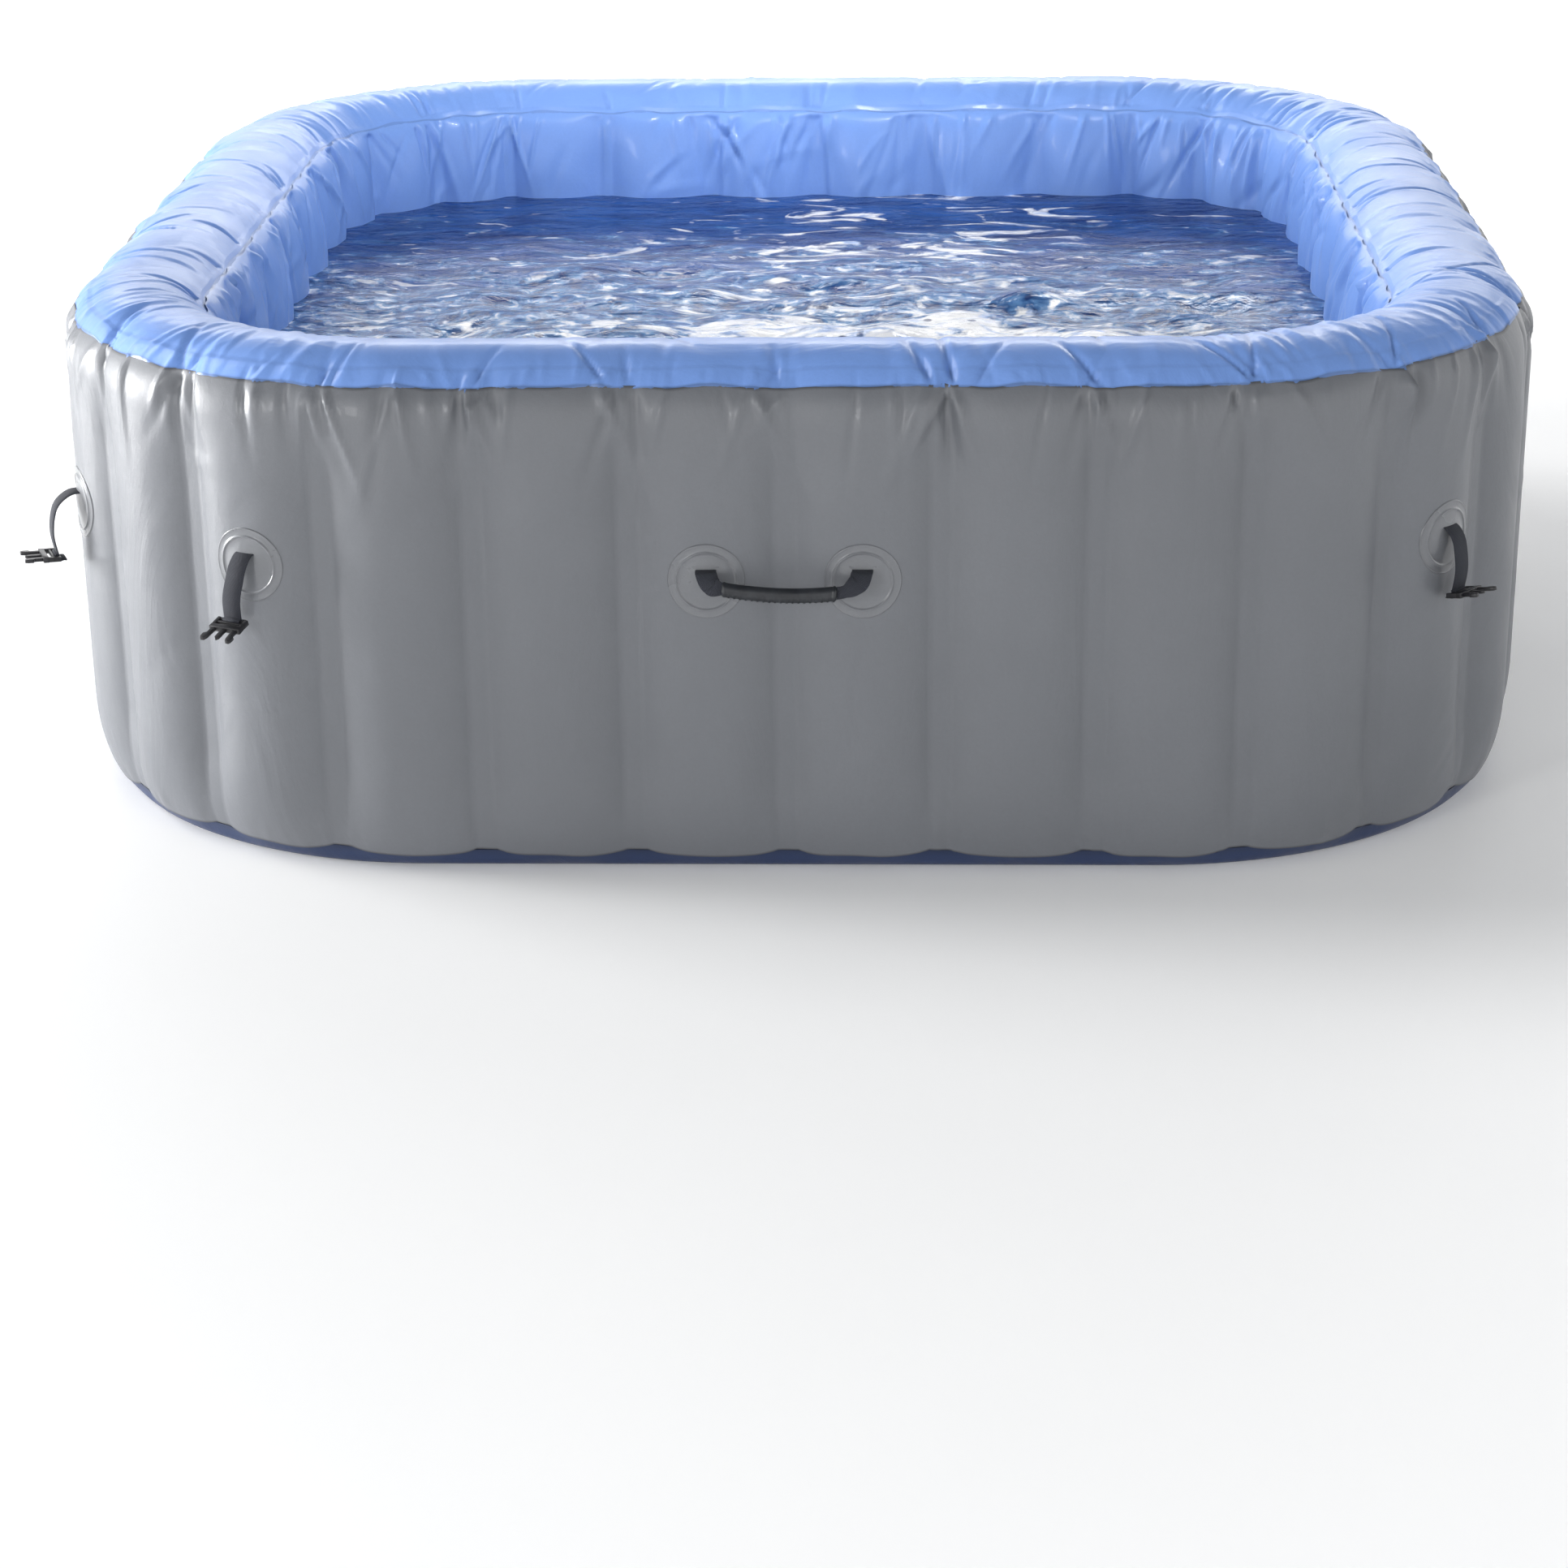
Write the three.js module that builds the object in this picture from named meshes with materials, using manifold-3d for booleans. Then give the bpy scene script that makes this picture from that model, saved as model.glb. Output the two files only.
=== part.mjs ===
// Inflatable hot tub: a rounded-square air wall round an open basin, with cover straps, carry handles,
// valves and pump couplings. Millimetres, +Z up, front towards -Y, origin on the ground at the middle.
import * as THREE from "three";
import { mergeVertices } from "three/addons/utils/BufferGeometryUtils.js";
import Module from "manifold-3d";

const wasm = await Module();
wasm.setup();

// Overall size and the plan's rounded square
const SIDE = 1860;
const HEIGHT = 640;
const CORNER_R = 485;
const GAP = 0.3; // between pieces that touch
const SKIN = 3; // vinyl sheet

// Air wall section: inset is measured inwards from the plan's outline
const WALL_W = 188; // width of the crowned top ring
const CROWN_RISE = 82; // top ring's rise above its widest level
const CROWN_POWER = 2.24; // superellipse exponent of the crown
const OUTER_SEAM_Z = 608;
const INNER_SEAM_Z = 605;
const BASE_SEAM_Z = 23;
const BASE_ROLL = 117; // height over which the foot of the wall rolls in
const BASE_TUCK = 43;
const BASIN_INSET = 206; // inner wall, below its top
const FOOT_INSET = 200; // inner wall, where it meets the floor
const FLOOR_TOP = 6.3;
const SHOULDER_Z = { outer: 540, inner: 500 }; // above these heights the walls curve in to their seams
const BASIN_FOOT_Z = 110;
const STRIP_LAP = 20; // base strip's lap under the bottom sheet

// Upright air channels: one web and one flat weld band between two lobes
const LOBES_PER_SIDE = 9;
const LOBES = 4 * LOBES_PER_SIDE;
const BAND_W = 25;
const BAND_DEPTH = 14;
const FOOT_BAND_DEPTH = 8; // at the base seam
const CROWN_W = 100; // flat middle of each lobe
const WEB_T = 1.2;
const WEB_Z = [118, 500];
const TAPE_Z = [440, 450]; // hoop tape that the webs are welded to
const CHANNEL = { middle: 69, half: 35, reach: 28 }; // bubble channel round the foot of the basin

// Webbing, patches and buckles
const WEBBING_W = 25;
const WEBBING_T = 2;
const PATCH_R = 46;
const PATCH_T = 2;
const PATCH_Z = 386; // height of a strap's patch
const SLOT_RISE = 14; // webbing leaves its patch this far above the patch's middle
const STRAP_LOBES = [-5.5, -3.5, 4.5, 7.5, 12.5, 14.5, 22.5, 24.5];
const STRAP_NAMES = [
  "front_left_side", "front_left", "front_right", "front_right_side",
  "back_right_side", "back_right", "back_left", "back_left_side",
];
const STRAP_OUT = { front_left_side: 45, front_left: 30 }; // how far a strap arches out; the rest use 28
const STRAP_OUT_USUAL = 28;
const LEVEL_BUCKLES = ["front_left_side", "front_left", "front_right"]; // stand out; the rest hang
const HANG_ANGLE = 80; // degrees down from level
const STRAP_DROP = 80;
const STRAP_LEAN = 3; // a hanging strap's end is this much nearer the wall than its arch
const STRAP_STEPS = 9;
const BAR_CLEAR = 4.5; // from the webbing's end to the middle of the buckle's bar

// Handles
const HANDLE_Z = 378;
const GRIP_LENGTH = 134;
const GRIP_R = 8.5;
const GRIP_OUT = 32; // grip's middle to the wall
const GRIP_DROP = 22; // grip's middle below the slots
const GRIP_SAG = 5;
const GRIP_BORE = { width: 14, height: 4 };
const WEBBING_IN_GRIP = 11;
const HANDLE_STEPS = 24;

// Fittings in the back wall, by lobe and height
const PUMP_Z = 210;
const AIR_Z = 240;
const INFLATE_Z = 330;
const DRAIN_Z = 150;
const FITTINGS = { inlet: [17.5, PUMP_Z], outlet: [18.5, PUMP_Z], air: [16.5, AIR_Z] };
const INFLATE_LOBE = 20.5;
const DRAIN_LOBE = 15.5;

const material = (color, roughness, metalness = 0) =>
  new THREE.MeshStandardMaterial({ color, roughness, metalness });
const MATERIALS = {
  greyVinyl: material(0x9a9ca0, 0.45),
  blueVinyl: material(0x7a9ee0, 0.35),
  navyVinyl: material(0x3c5080, 0.45),
  clearVinyl: material(0xa4a6aa, 0.3),
  webTape: material(0xc8cacc, 0.6),
  webbing: material(0x3c3e4b, 0.8),
  buckle: material(0x141518, 0.4),
  grip: material(0x17191d, 0.55),
  fitting: material(0x2c2e32, 0.45),
  hose: material(0xb4b8bc, 0.4),
};

// Closed solids

function solid(geometry) {
  const plain = geometry.index ? geometry.clone() : mergeVertices(geometry.clone());
  plain.deleteAttribute("normal");
  plain.deleteAttribute("uv");
  const merged = mergeVertices(plain, 1e-4);
  const triVerts = [];
  for (let i = 0; i < merged.index.count; i += 3) {
    const [a, b, c] = [0, 1, 2].map((k) => merged.index.getX(i + k));
    if (a !== b && b !== c && c !== a) triVerts.push(a, b, c);
  }
  const make = (tris) => new wasm.Manifold(new wasm.Mesh({
    numProp: 3,
    vertProperties: new Float32Array(merged.attributes.position.array),
    triVerts: new Uint32Array(tris),
  }));
  const first = make(triVerts);
  if (first.volume() > 0) return first;
  const flipped = [];
  for (let i = 0; i < triVerts.length; i += 3) {
    flipped.push(triVerts[i], triVerts[i + 2], triVerts[i + 1]);
  }
  return make(flipped);
}

function namedMesh(name, shape, look) {
  const { vertProperties, triVerts } = shape.getMesh();
  const geometry = new THREE.BufferGeometry();
  geometry.setAttribute("position", new THREE.BufferAttribute(new Float32Array(vertProperties), 3));
  geometry.setIndex(new THREE.BufferAttribute(new Uint32Array(triVerts), 1));
  geometry.computeVertexNormals();
  const mesh = new THREE.Mesh(geometry, look);
  mesh.name = name;
  return mesh;
}

const joined = (shapes) => shapes.reduce((all, one) => all.add(one));

function box(w, d, h, x = 0, y = 0, z = 0) {
  return solid(new THREE.BoxGeometry(w, d, h).translate(x, y, z));
}

// A turned piece about the local Y axis, from [radius, y] points; an axis point has radius 0
function turned(profile, sides = 16) {
  const open = profile[0][0] === 0;
  const points = (open ? profile : [...profile, profile[0]]).map(([r, y]) => new THREE.Vector2(r, y));
  return solid(new THREE.LatheGeometry(points, sides));
}

// The plan's outline

const HALF = SIDE / 2;
const STRAIGHT = HALF - CORNER_R;
const QUARTER = 2 * STRAIGHT + (CORNER_R * Math.PI) / 2;
const PITCH = (4 * QUARTER) / LOBES;

// Point on the outline at path length s from the front's middle, counter-clockwise, moved inwards
function pathPoint(s, inset = 0) {
  const side = Math.round(s / QUARTER);
  const t = s - side * QUARTER;
  const turn = Math.max(0, Math.abs(t) - STRAIGHT) / CORNER_R;
  const reach = turn > 0 ? CORNER_R - inset : 0;
  const along = Math.sign(t) * (Math.min(Math.abs(t), STRAIGHT) + reach * Math.sin(turn));
  const out = turn > 0 ? STRAIGHT + reach * Math.cos(turn) : HALF - inset;
  return new THREE.Vector2(along, -out).rotateAround(new THREE.Vector2(), (side * Math.PI) / 2);
}

// Stations round the outline: depth is 1 in a weld band and 0 on a lobe's flat middle
const LOBED = [];
const PLAIN = [];
for (let k = 0; k < LOBES; k++) {
  const band = k * PITCH;
  const crown = band + PITCH / 2;
  LOBED.push(
    { s: band - BAND_W / 2, depth: 1 },
    { s: band + BAND_W / 2, depth: 1 },
    { s: crown - CROWN_W / 2, depth: 0 },
    { s: crown + CROWN_W / 2, depth: 0 },
  );
  PLAIN.push({ s: band, depth: 0 }, { s: crown, depth: 0 });
}

// A ring round the outline, from a closed section of [inset, z, lobe depth] points
function ring(section, stations = PLAIN) {
  const closed = [...section, section[0]];
  const profile = closed.map(([inset, z]) => new THREE.Vector2(HALF - inset, z));
  const lathe = new THREE.LatheGeometry(profile, stations.length);
  for (let i = 0; i <= stations.length; i++) {
    const { s, depth } = stations[i % stations.length];
    closed.forEach(([inset, z, lobe = 0], j) => {
      const p = pathPoint(s, inset + lobe * depth);
      lathe.attributes.position.setXYZ(i * closed.length + j, p.x, p.y, z);
    });
  }
  return solid(lathe);
}

// A flat sheet with the outline's shape
function plate(inset, z, depth) {
  const outline = new THREE.Shape(PLAIN.map(({ s }) => pathPoint(s, inset)));
  const sheet = new THREE.ExtrudeGeometry(outline, { depth, bevelEnabled: false });
  return solid(sheet.translate(0, 0, z));
}

// Local frame on the flat middle of a lobe: X along the wall, Y inwards, Z up
function onWall(lobe, z) {
  const a = pathPoint((lobe * PITCH) - CROWN_W / 2);
  const b = pathPoint((lobe * PITCH) + CROWN_W / 2);
  const group = new THREE.Group();
  group.position.set((a.x + b.x) / 2, (a.y + b.y) / 2, z);
  group.rotation.z = Math.atan2(b.y - a.y, b.x - a.x);
  group.updateMatrix();
  return group;
}

const cutAt = (group, shape) => shape.transform(group.matrix.toArray());

const tub = new THREE.Group();

// Air wall skins

const arcInset = (z) => {
  const turn = Math.acos(1 - Math.min(z, BASE_ROLL) / BASE_ROLL);
  return BASE_TUCK * (1 - Math.sin(turn));
};

// Crowned top: a superellipse from the outer seam over to the inner seam, moved in by a thickness
function crownSection(steps, thin) {
  const middle = HEIGHT - CROWN_RISE;
  const [w, h] = [WALL_W / 2 - thin, CROWN_RISE - thin];
  const angle = (z) => Math.asin(Math.pow((z - middle) / CROWN_RISE, CROWN_POWER / 2));
  const [from, to] = [angle(OUTER_SEAM_Z), Math.PI - angle(INNER_SEAM_Z)];
  const power = 2 / CROWN_POWER;
  return Array.from({ length: steps + 1 }, (_, i) => {
    const t = from + ((to - from) * i) / steps;
    const across = Math.sign(Math.cos(t)) * Math.pow(Math.abs(Math.cos(t)), power);
    const floor = i < steps / 2 ? OUTER_SEAM_Z : INNER_SEAM_Z;
    return [WALL_W / 2 - w * across, Math.max(floor, middle + h * Math.pow(Math.sin(t), power))];
  });
}

const CROWN_STEPS = 6;
const crownTop = crownSection(CROWN_STEPS, 0);
const crownUnder = crownSection(CROWN_STEPS, SKIN).reverse();
const outerSeamInset = crownTop[0][0];
const innerSeamInset = crownTop[CROWN_STEPS][0];

const wallRows = [
  [arcInset(BASE_SEAM_Z), BASE_SEAM_Z + GAP, FOOT_BAND_DEPTH],
  [0, BASE_ROLL, BAND_DEPTH],
  [0, SHOULDER_Z.outer, BAND_DEPTH],
  [outerSeamInset, OUTER_SEAM_Z - GAP, 0],
];
const inwards = ([inset, z, lobe]) => [inset + SKIN, z, lobe];
let outerWall = ring([...wallRows, ...wallRows.map(inwards).reverse()], LOBED);

const basinRows = [
  [FOOT_INSET, FLOOR_TOP + 2, 0],
  [BASIN_INSET, BASIN_FOOT_Z, 0],
  [BASIN_INSET, SHOULDER_Z.inner, 0],
  [innerSeamInset, INNER_SEAM_Z - GAP, 0],
];
const outwards = ([inset, z]) => [inset - SKIN, z];
let innerWall = ring([...basinRows, ...basinRows.map(outwards).reverse()]);

const topRing = ring([...crownTop, ...crownUnder]);

// Bottom sheet, turned up at its edge as the base strip
const stripInset = arcInset(BASE_SEAM_Z);
const lapInset = BASE_TUCK + STRIP_LAP;
const baseStrip = ring([
  [lapInset, 0], [BASE_TUCK, 0], [stripInset, BASE_SEAM_Z],
  [stripInset + SKIN, BASE_SEAM_Z], [BASE_TUCK + SKIN, SKIN], [lapInset, SKIN],
]);
const bottom = plate(lapInset - 5, 0, SKIN);
const floorSheet = plate(BASIN_INSET + 4, SKIN + GAP, FLOOR_TOP - SKIN - GAP);
tub.add(namedMesh("base_sheet", baseStrip.add(bottom), MATERIALS.navyVinyl));
tub.add(namedMesh("floor_sheet", floorSheet, MATERIALS.blueVinyl));
tub.add(namedMesh("top_ring", topRing, MATERIALS.blueVinyl));

// Upright webs across the air chamber, held by one hoop of tape
const WEB_FROM = BAND_DEPTH + SKIN + 1;
const WEB_TO = BASIN_INSET - SKIN - 1;
const tapeRing = ring([
  [WEB_FROM, TAPE_Z[0]], [WEB_FROM, TAPE_Z[1]],
  [WEB_FROM + WEB_T, TAPE_Z[1]], [WEB_FROM + WEB_T, TAPE_Z[0]],
], PLAIN.filter((_, i) => i % 2 === 0));
const webs = [];
for (let k = 0; k < LOBES; k++) {
  const a = pathPoint(k * PITCH, WEB_FROM + WEB_T / 2);
  const b = pathPoint(k * PITCH, WEB_TO);
  const web = new THREE.BoxGeometry(a.distanceTo(b), WEB_T, WEB_Z[1] - WEB_Z[0]);
  web.rotateZ(Math.atan2(b.y - a.y, b.x - a.x));
  webs.push(solid(web.translate((a.x + b.x) / 2, (a.y + b.y) / 2, (WEB_Z[0] + WEB_Z[1]) / 2)));
}
tub.add(namedMesh("tension_webs", joined([tapeRing, ...webs]), MATERIALS.webTape));

// Bubble channel: a bent strip, open towards the wall
const bulge = (thin) => [
  [BASIN_INSET + GAP, CHANNEL.middle - CHANNEL.half + thin],
  [BASIN_INSET + CHANNEL.reach - thin, CHANNEL.middle],
  [BASIN_INSET + GAP, CHANNEL.middle + CHANNEL.half - thin],
];
const airChannel = ring([...bulge(0), ...bulge(SKIN).reverse()]);
tub.add(namedMesh("air_channel", airChannel, MATERIALS.blueVinyl));

// Webbing: a box bent along a path. path(t) gives the middle, across(t) the width's direction

function ribbon(path, across, width, thickness, steps) {
  const strip = new THREE.BoxGeometry(1, 1, 1, 1, 1, steps);
  const at = strip.attributes.position;
  for (let i = 0; i < at.count; i++) {
    const t = at.getZ(i) + 0.5;
    const ahead = path(Math.min(1, t + 0.02)).sub(path(Math.max(0, t - 0.02))).normalize();
    const side = across(t).normalize();
    const up = new THREE.Vector3().crossVectors(ahead, side).normalize();
    const p = path(t).addScaledVector(side, at.getX(i) * width(t));
    p.addScaledVector(up, at.getY(i) * thickness);
    at.setXYZ(i, p.x, p.y, p.z);
  }
  return solid(strip);
}

const SLOT_BLOCK = { width: WEBBING_W + 9, depth: 4.5, height: 9, stand: 4 };
const SLOT_Y = -PATCH_T - GAP - SLOT_BLOCK.stand; // outer face of a patch's slot block
const WEBBING_START = SLOT_Y - 0.8;
const DISC_SIDES = 20;

function patch() {
  const back = -GAP;
  const face = -GAP - PATCH_T;
  const disc = turned([[0, back], [PATCH_R, back], [PATCH_R, face], [0, face]], DISC_SIDES);
  const { width, depth, height } = SLOT_BLOCK;
  return disc.add(box(width, depth, height, 0, SLOT_Y + depth / 2, SLOT_RISE));
}

// A male side-release buckle: bar at the origin, prongs outwards
const BUCKLE = { width: 42, bar: 4, back: 5, front: 20, tip: 44, thick: 6, prong: 5, window: 6 };

function buckle() {
  const { width, bar, back, front, tip, thick, prong, window } = BUCKLE;
  const middle = (front + back) / 2;
  const frame = box(width, front - back, thick, 0, -middle, 0);
  const opening = box(WEBBING_W + 3, window, thick * 2, 0, -back - window, 0);
  const cheek = (side) => box(bar, back + 2, thick, side * (width - bar) / 2, -back / 2, 0);
  const arm = (side) => {
    const length = tip - front + 2;
    return box(prong, length, thick - 2, side * (width / 2 - 6), length / 2 - tip, 0);
  };
  const parts = [box(width, bar, bar), cheek(-1), cheek(1), arm(-1), arm(0), arm(1)];
  return joined([frame.subtract(opening), ...parts]);
}

const vec = (x, y, z) => new THREE.Vector3(x, y, z);

// Strap: out of the slot, over, and down to the buckle
STRAP_NAMES.forEach((name, i) => {
  const group = onWall(STRAP_LOBES[i], PATCH_Z);
  const out = -(STRAP_OUT[name] ?? STRAP_OUT_USUAL);
  const end = out + STRAP_LEAN;
  const top = SLOT_RISE;
  const route = new THREE.CatmullRomCurve3([
    vec(0, WEBBING_START, top),
    vec(0, out * 0.55, top + 3),
    vec(0, out * 0.93, top - 6),
    vec(0, out, top - 22),
    vec(0, out + 1, top - 50),
    vec(0, end, top - STRAP_DROP + BAR_CLEAR),
  ]);
  const path = (t) => route.getPoint(t);
  const strap = ribbon(path, () => vec(1, 0, 0), () => WEBBING_W, WEBBING_T, STRAP_STEPS);
  group.add(namedMesh(`${name}_patch`, patch(), MATERIALS.clearVinyl));
  group.add(namedMesh(`${name}_strap`, strap, MATERIALS.webbing));
  const clip = namedMesh(`${name}_buckle`, buckle(), MATERIALS.buckle);
  clip.position.set(0, end, top - STRAP_DROP);
  if (!LEVEL_BUCKLES.includes(name)) clip.rotation.x = THREE.MathUtils.degToRad(HANG_ANGLE);
  group.add(clip);
  tub.add(group);
});

// Carry handle across one weld band: webbing between two patches, through a sleeve grip
const HANDLE_SIDES = { front: 0, right: 1, left: 3 };
const HALF_SPAN = PITCH / 2;

function handleRoute() {
  const [y, z] = [-GRIP_OUT, SLOT_RISE - GRIP_DROP];
  const left = [
    vec(-HALF_SPAN, WEBBING_START, SLOT_RISE),
    vec(-HALF_SPAN + 1, y + 12, SLOT_RISE),
    vec(-HALF_SPAN + 7, y + 3, SLOT_RISE - 10),
    vec(-GRIP_LENGTH / 2, y, z + GRIP_SAG),
  ];
  const mirrored = left.map((p) => vec(-p.x, p.y, p.z)).reverse();
  return new THREE.CatmullRomCurve3([...left, vec(0, y, z), ...mirrored]);
}

function grip(route) {
  const bar = new THREE.CylinderGeometry(GRIP_R, GRIP_R, GRIP_LENGTH, 12, 4).rotateZ(Math.PI / 2);
  const at = bar.attributes.position;
  for (let i = 0; i < at.count; i++) {
    const u = (2 * at.getX(i)) / GRIP_LENGTH;
    const rise = SLOT_RISE - GRIP_DROP + GRIP_SAG * u * u;
    at.setXYZ(i, at.getX(i), at.getY(i) - GRIP_OUT, at.getZ(i) + rise);
  }
  const bore = ribbon(route.path, route.across, () => GRIP_BORE.width, GRIP_BORE.height, HANDLE_STEPS);
  return solid(bar).subtract(bore);
}

for (const [name, side] of Object.entries(HANDLE_SIDES)) {
  const lobe = side * LOBES_PER_SIDE;
  for (const [hand, step] of [["left", -0.5], ["right", 0.5]]) {
    const base = onWall(lobe + step, HANDLE_Z);
    base.add(namedMesh(`${name}_handle_${hand}_patch`, patch(), MATERIALS.clearVinyl));
    tub.add(base);
  }
  const group = new THREE.Group();
  const middle = pathPoint(side * QUARTER);
  group.position.set(middle.x, middle.y, HANDLE_Z);
  group.rotation.z = (side * Math.PI) / 2;
  const curve = handleRoute();
  const turnLength = 17; // over which the webbing twists and narrows into the grip
  const inGrip = (t) => {
    const share = (HALF_SPAN - Math.abs(curve.getPoint(t).x)) / turnLength;
    return Math.min(1, Math.max(0, share));
  };
  const route = {
    path: (t) => curve.getPoint(t),
    across: (t) => {
      const turn = (inGrip(t) * Math.PI) / 2;
      const hand = curve.getPoint(t).x < 0 ? 1 : -1;
      return vec(hand * Math.cos(turn), 0, Math.sin(turn));
    },
  };
  const width = (t) => WEBBING_W - (WEBBING_W - WEBBING_IN_GRIP) * inGrip(t);
  const webbing = ribbon(route.path, route.across, width, WEBBING_T, HANDLE_STEPS);
  group.add(namedMesh(`${name}_handle_webbing`, webbing, MATERIALS.webbing));
  group.add(namedMesh(`${name}_handle_grip`, grip(route), MATERIALS.grip));
  tub.add(group);
}

// Fittings through the back wall

const PIPE_R = 30;
const PIPE_BORE = 22;
const PIPE_OUT = -25;
const PIPE_IN = BASIN_INSET + 24;
const FLANGE_R = 45;
const FLANGE_T = 6;
const NUT_T = 10;
const PLUG_PLAY = 0.4;
const PLUG_DEPTH = { stopper: 16, drain: 12 };

function coupling(yIn) {
  return turned([
    [PIPE_BORE, PIPE_OUT], [PIPE_R, PIPE_OUT], [PIPE_R, -GAP - FLANGE_T], [FLANGE_R, -GAP - FLANGE_T],
    [FLANGE_R, -GAP], [PIPE_R, -GAP], [PIPE_R, yIn], [PIPE_BORE, yIn],
  ]);
}

// A plug that fills a pipe's end at y, with a head outside it
function plug(radius, headR, y, depth, headT) {
  return turned([
    [0, y - depth], [radius, y - depth], [radius, y + GAP],
    [headR, y + GAP], [headR, y + headT], [0, y + headT],
  ]);
}

function hole(radius, y0, y1) {
  return turned([[0, y0], [radius, y0], [radius, y1], [0, y1]], 24);
}

for (const name of ["inlet", "outlet"]) {
  const group = onWall(...FITTINGS[name]);
  const nutY = BASIN_INSET + GAP;
  const stopper = plug(PIPE_BORE - PLUG_PLAY, PIPE_R, PIPE_IN, PLUG_DEPTH.stopper, 6);
  const nut = turned([
    [PIPE_R + GAP, nutY], [FLANGE_R - 1, nutY],
    [FLANGE_R - 1, nutY + NUT_T], [PIPE_R + GAP, nutY + NUT_T],
  ]);
  group.add(namedMesh(`${name}_coupling`, coupling(PIPE_IN), MATERIALS.fitting));
  group.add(namedMesh(`${name}_clamp_nut`, nut, MATERIALS.fitting));
  group.add(namedMesh(`${name}_stopper`, stopper, MATERIALS.fitting));
  tub.add(group);
  const bore = cutAt(group, hole(PIPE_R + GAP, -5, BASIN_INSET + 5));
  outerWall = outerWall.subtract(bore);
  innerWall = innerWall.subtract(bore);
}

// Air coupling in the outer wall only, and the hose from it down to the bubble channel
const AIR_PIPE_IN = 38;
const HOSE_R = 14;
const HOSE_BORE = 10;
const HOSE_STEPS = 8;
const airGroup = onWall(...FITTINGS.air);
airGroup.add(namedMesh("air_coupling", coupling(AIR_PIPE_IN), MATERIALS.fitting));
const hoseDrop = CHANNEL.middle - 1 - AIR_Z;
const hoseRoute = new THREE.CatmullRomCurve3([
  vec(0, AIR_PIPE_IN + GAP, 0),
  vec(0, 62, -4),
  vec(0, 88, -34),
  vec(0, 95, hoseDrop / 2),
  vec(0, 110, hoseDrop + 36),
  vec(0, 145, hoseDrop + 4),
  vec(0, BASIN_INSET + 8, hoseDrop),
]);
const hoseSection = new THREE.Shape().absarc(0, 0, HOSE_R, 0, 2 * Math.PI);
hoseSection.holes.push(new THREE.Path().absarc(0, 0, HOSE_BORE, 0, 2 * Math.PI, true));
const hose = new THREE.ExtrudeGeometry(hoseSection, {
  steps: HOSE_STEPS,
  curveSegments: 4,
  extrudePath: hoseRoute,
});
airGroup.add(namedMesh("air_hose", solid(hose), MATERIALS.hose));
tub.add(airGroup);
outerWall = outerWall.subtract(cutAt(airGroup, hole(PIPE_R + GAP, -5, 10)));
const hoseHole = hole(HOSE_R + 1, BASIN_INSET - 15, BASIN_INSET + 5).translate(0, 0, hoseDrop);
innerWall = innerWall.subtract(cutAt(airGroup, hoseHole));

// Inflation valve and its cap
const VALVE = { bore: 20, r: 26, flange: 42, flangeT: 4, out: -14, in: 34 };
const CAP = { core: 17, skirt: 19.6, r: 29, out: -24 };
const inflate = onWall(INFLATE_LOBE, INFLATE_Z);
const valveFace = -GAP - VALVE.flangeT;
inflate.add(namedMesh("inflation_valve", turned([
  [VALVE.bore, VALVE.out], [VALVE.r, VALVE.out], [VALVE.r, valveFace], [VALVE.flange, valveFace],
  [VALVE.flange, -GAP], [VALVE.r, -GAP], [VALVE.r, VALVE.in], [VALVE.bore, VALVE.in],
]), MATERIALS.fitting));
inflate.add(namedMesh("inflation_valve_cap", turned([
  [0, VALVE.out], [CAP.core, VALVE.out], [CAP.core, -4], [CAP.skirt, -4],
  [CAP.skirt, VALVE.out - GAP], [CAP.r, VALVE.out - GAP], [CAP.r, CAP.out], [0, CAP.out],
]), MATERIALS.fitting));
tub.add(inflate);
outerWall = outerWall.subtract(cutAt(inflate, hole(VALVE.r + GAP, -5, 10)));

// Drain valve through both skins, with a cap outside and a plug inside
const DRAIN_R = 16;
const DRAIN_BORE = 11;
const DRAIN_IN = BASIN_INSET + 16;
const DRAIN_OUT = -22;
const DRAIN_FLANGE_R = 28;
const DRAIN_CAP = { r: DRAIN_R + 4, skirt: -8, out: -28 };
const drain = onWall(DRAIN_LOBE, DRAIN_Z);
drain.add(namedMesh("drain_valve", turned([
  [DRAIN_BORE, DRAIN_OUT], [DRAIN_R, DRAIN_OUT], [DRAIN_R, valveFace], [DRAIN_FLANGE_R, valveFace],
  [DRAIN_FLANGE_R, -GAP], [DRAIN_R, -GAP], [DRAIN_R, DRAIN_IN], [DRAIN_BORE, DRAIN_IN],
]), MATERIALS.fitting));
drain.add(namedMesh("drain_cap", turned([
  [0, DRAIN_OUT - GAP], [DRAIN_R + GAP, DRAIN_OUT - GAP], [DRAIN_R + GAP, DRAIN_CAP.skirt],
  [DRAIN_CAP.r, DRAIN_CAP.skirt], [DRAIN_CAP.r, DRAIN_CAP.out], [0, DRAIN_CAP.out],
]), MATERIALS.fitting));
const drainPlug = plug(DRAIN_BORE - PLUG_PLAY, DRAIN_R + 4, DRAIN_IN, PLUG_DEPTH.drain, 5);
drain.add(namedMesh("drain_plug", drainPlug, MATERIALS.fitting));
tub.add(drain);
const drainHole = cutAt(drain, hole(DRAIN_R + GAP, -5, BASIN_INSET + 5));
outerWall = outerWall.subtract(drainHole);
innerWall = innerWall.subtract(drainHole);

tub.add(namedMesh("outer_wall", outerWall, MATERIALS.greyVinyl));
tub.add(namedMesh("inner_wall", innerWall, MATERIALS.blueVinyl));

export default tub;
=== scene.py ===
"""Looks of an inflatable hot tub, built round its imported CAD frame. Metres, +Z up, front towards -Y."""
import math

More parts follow.
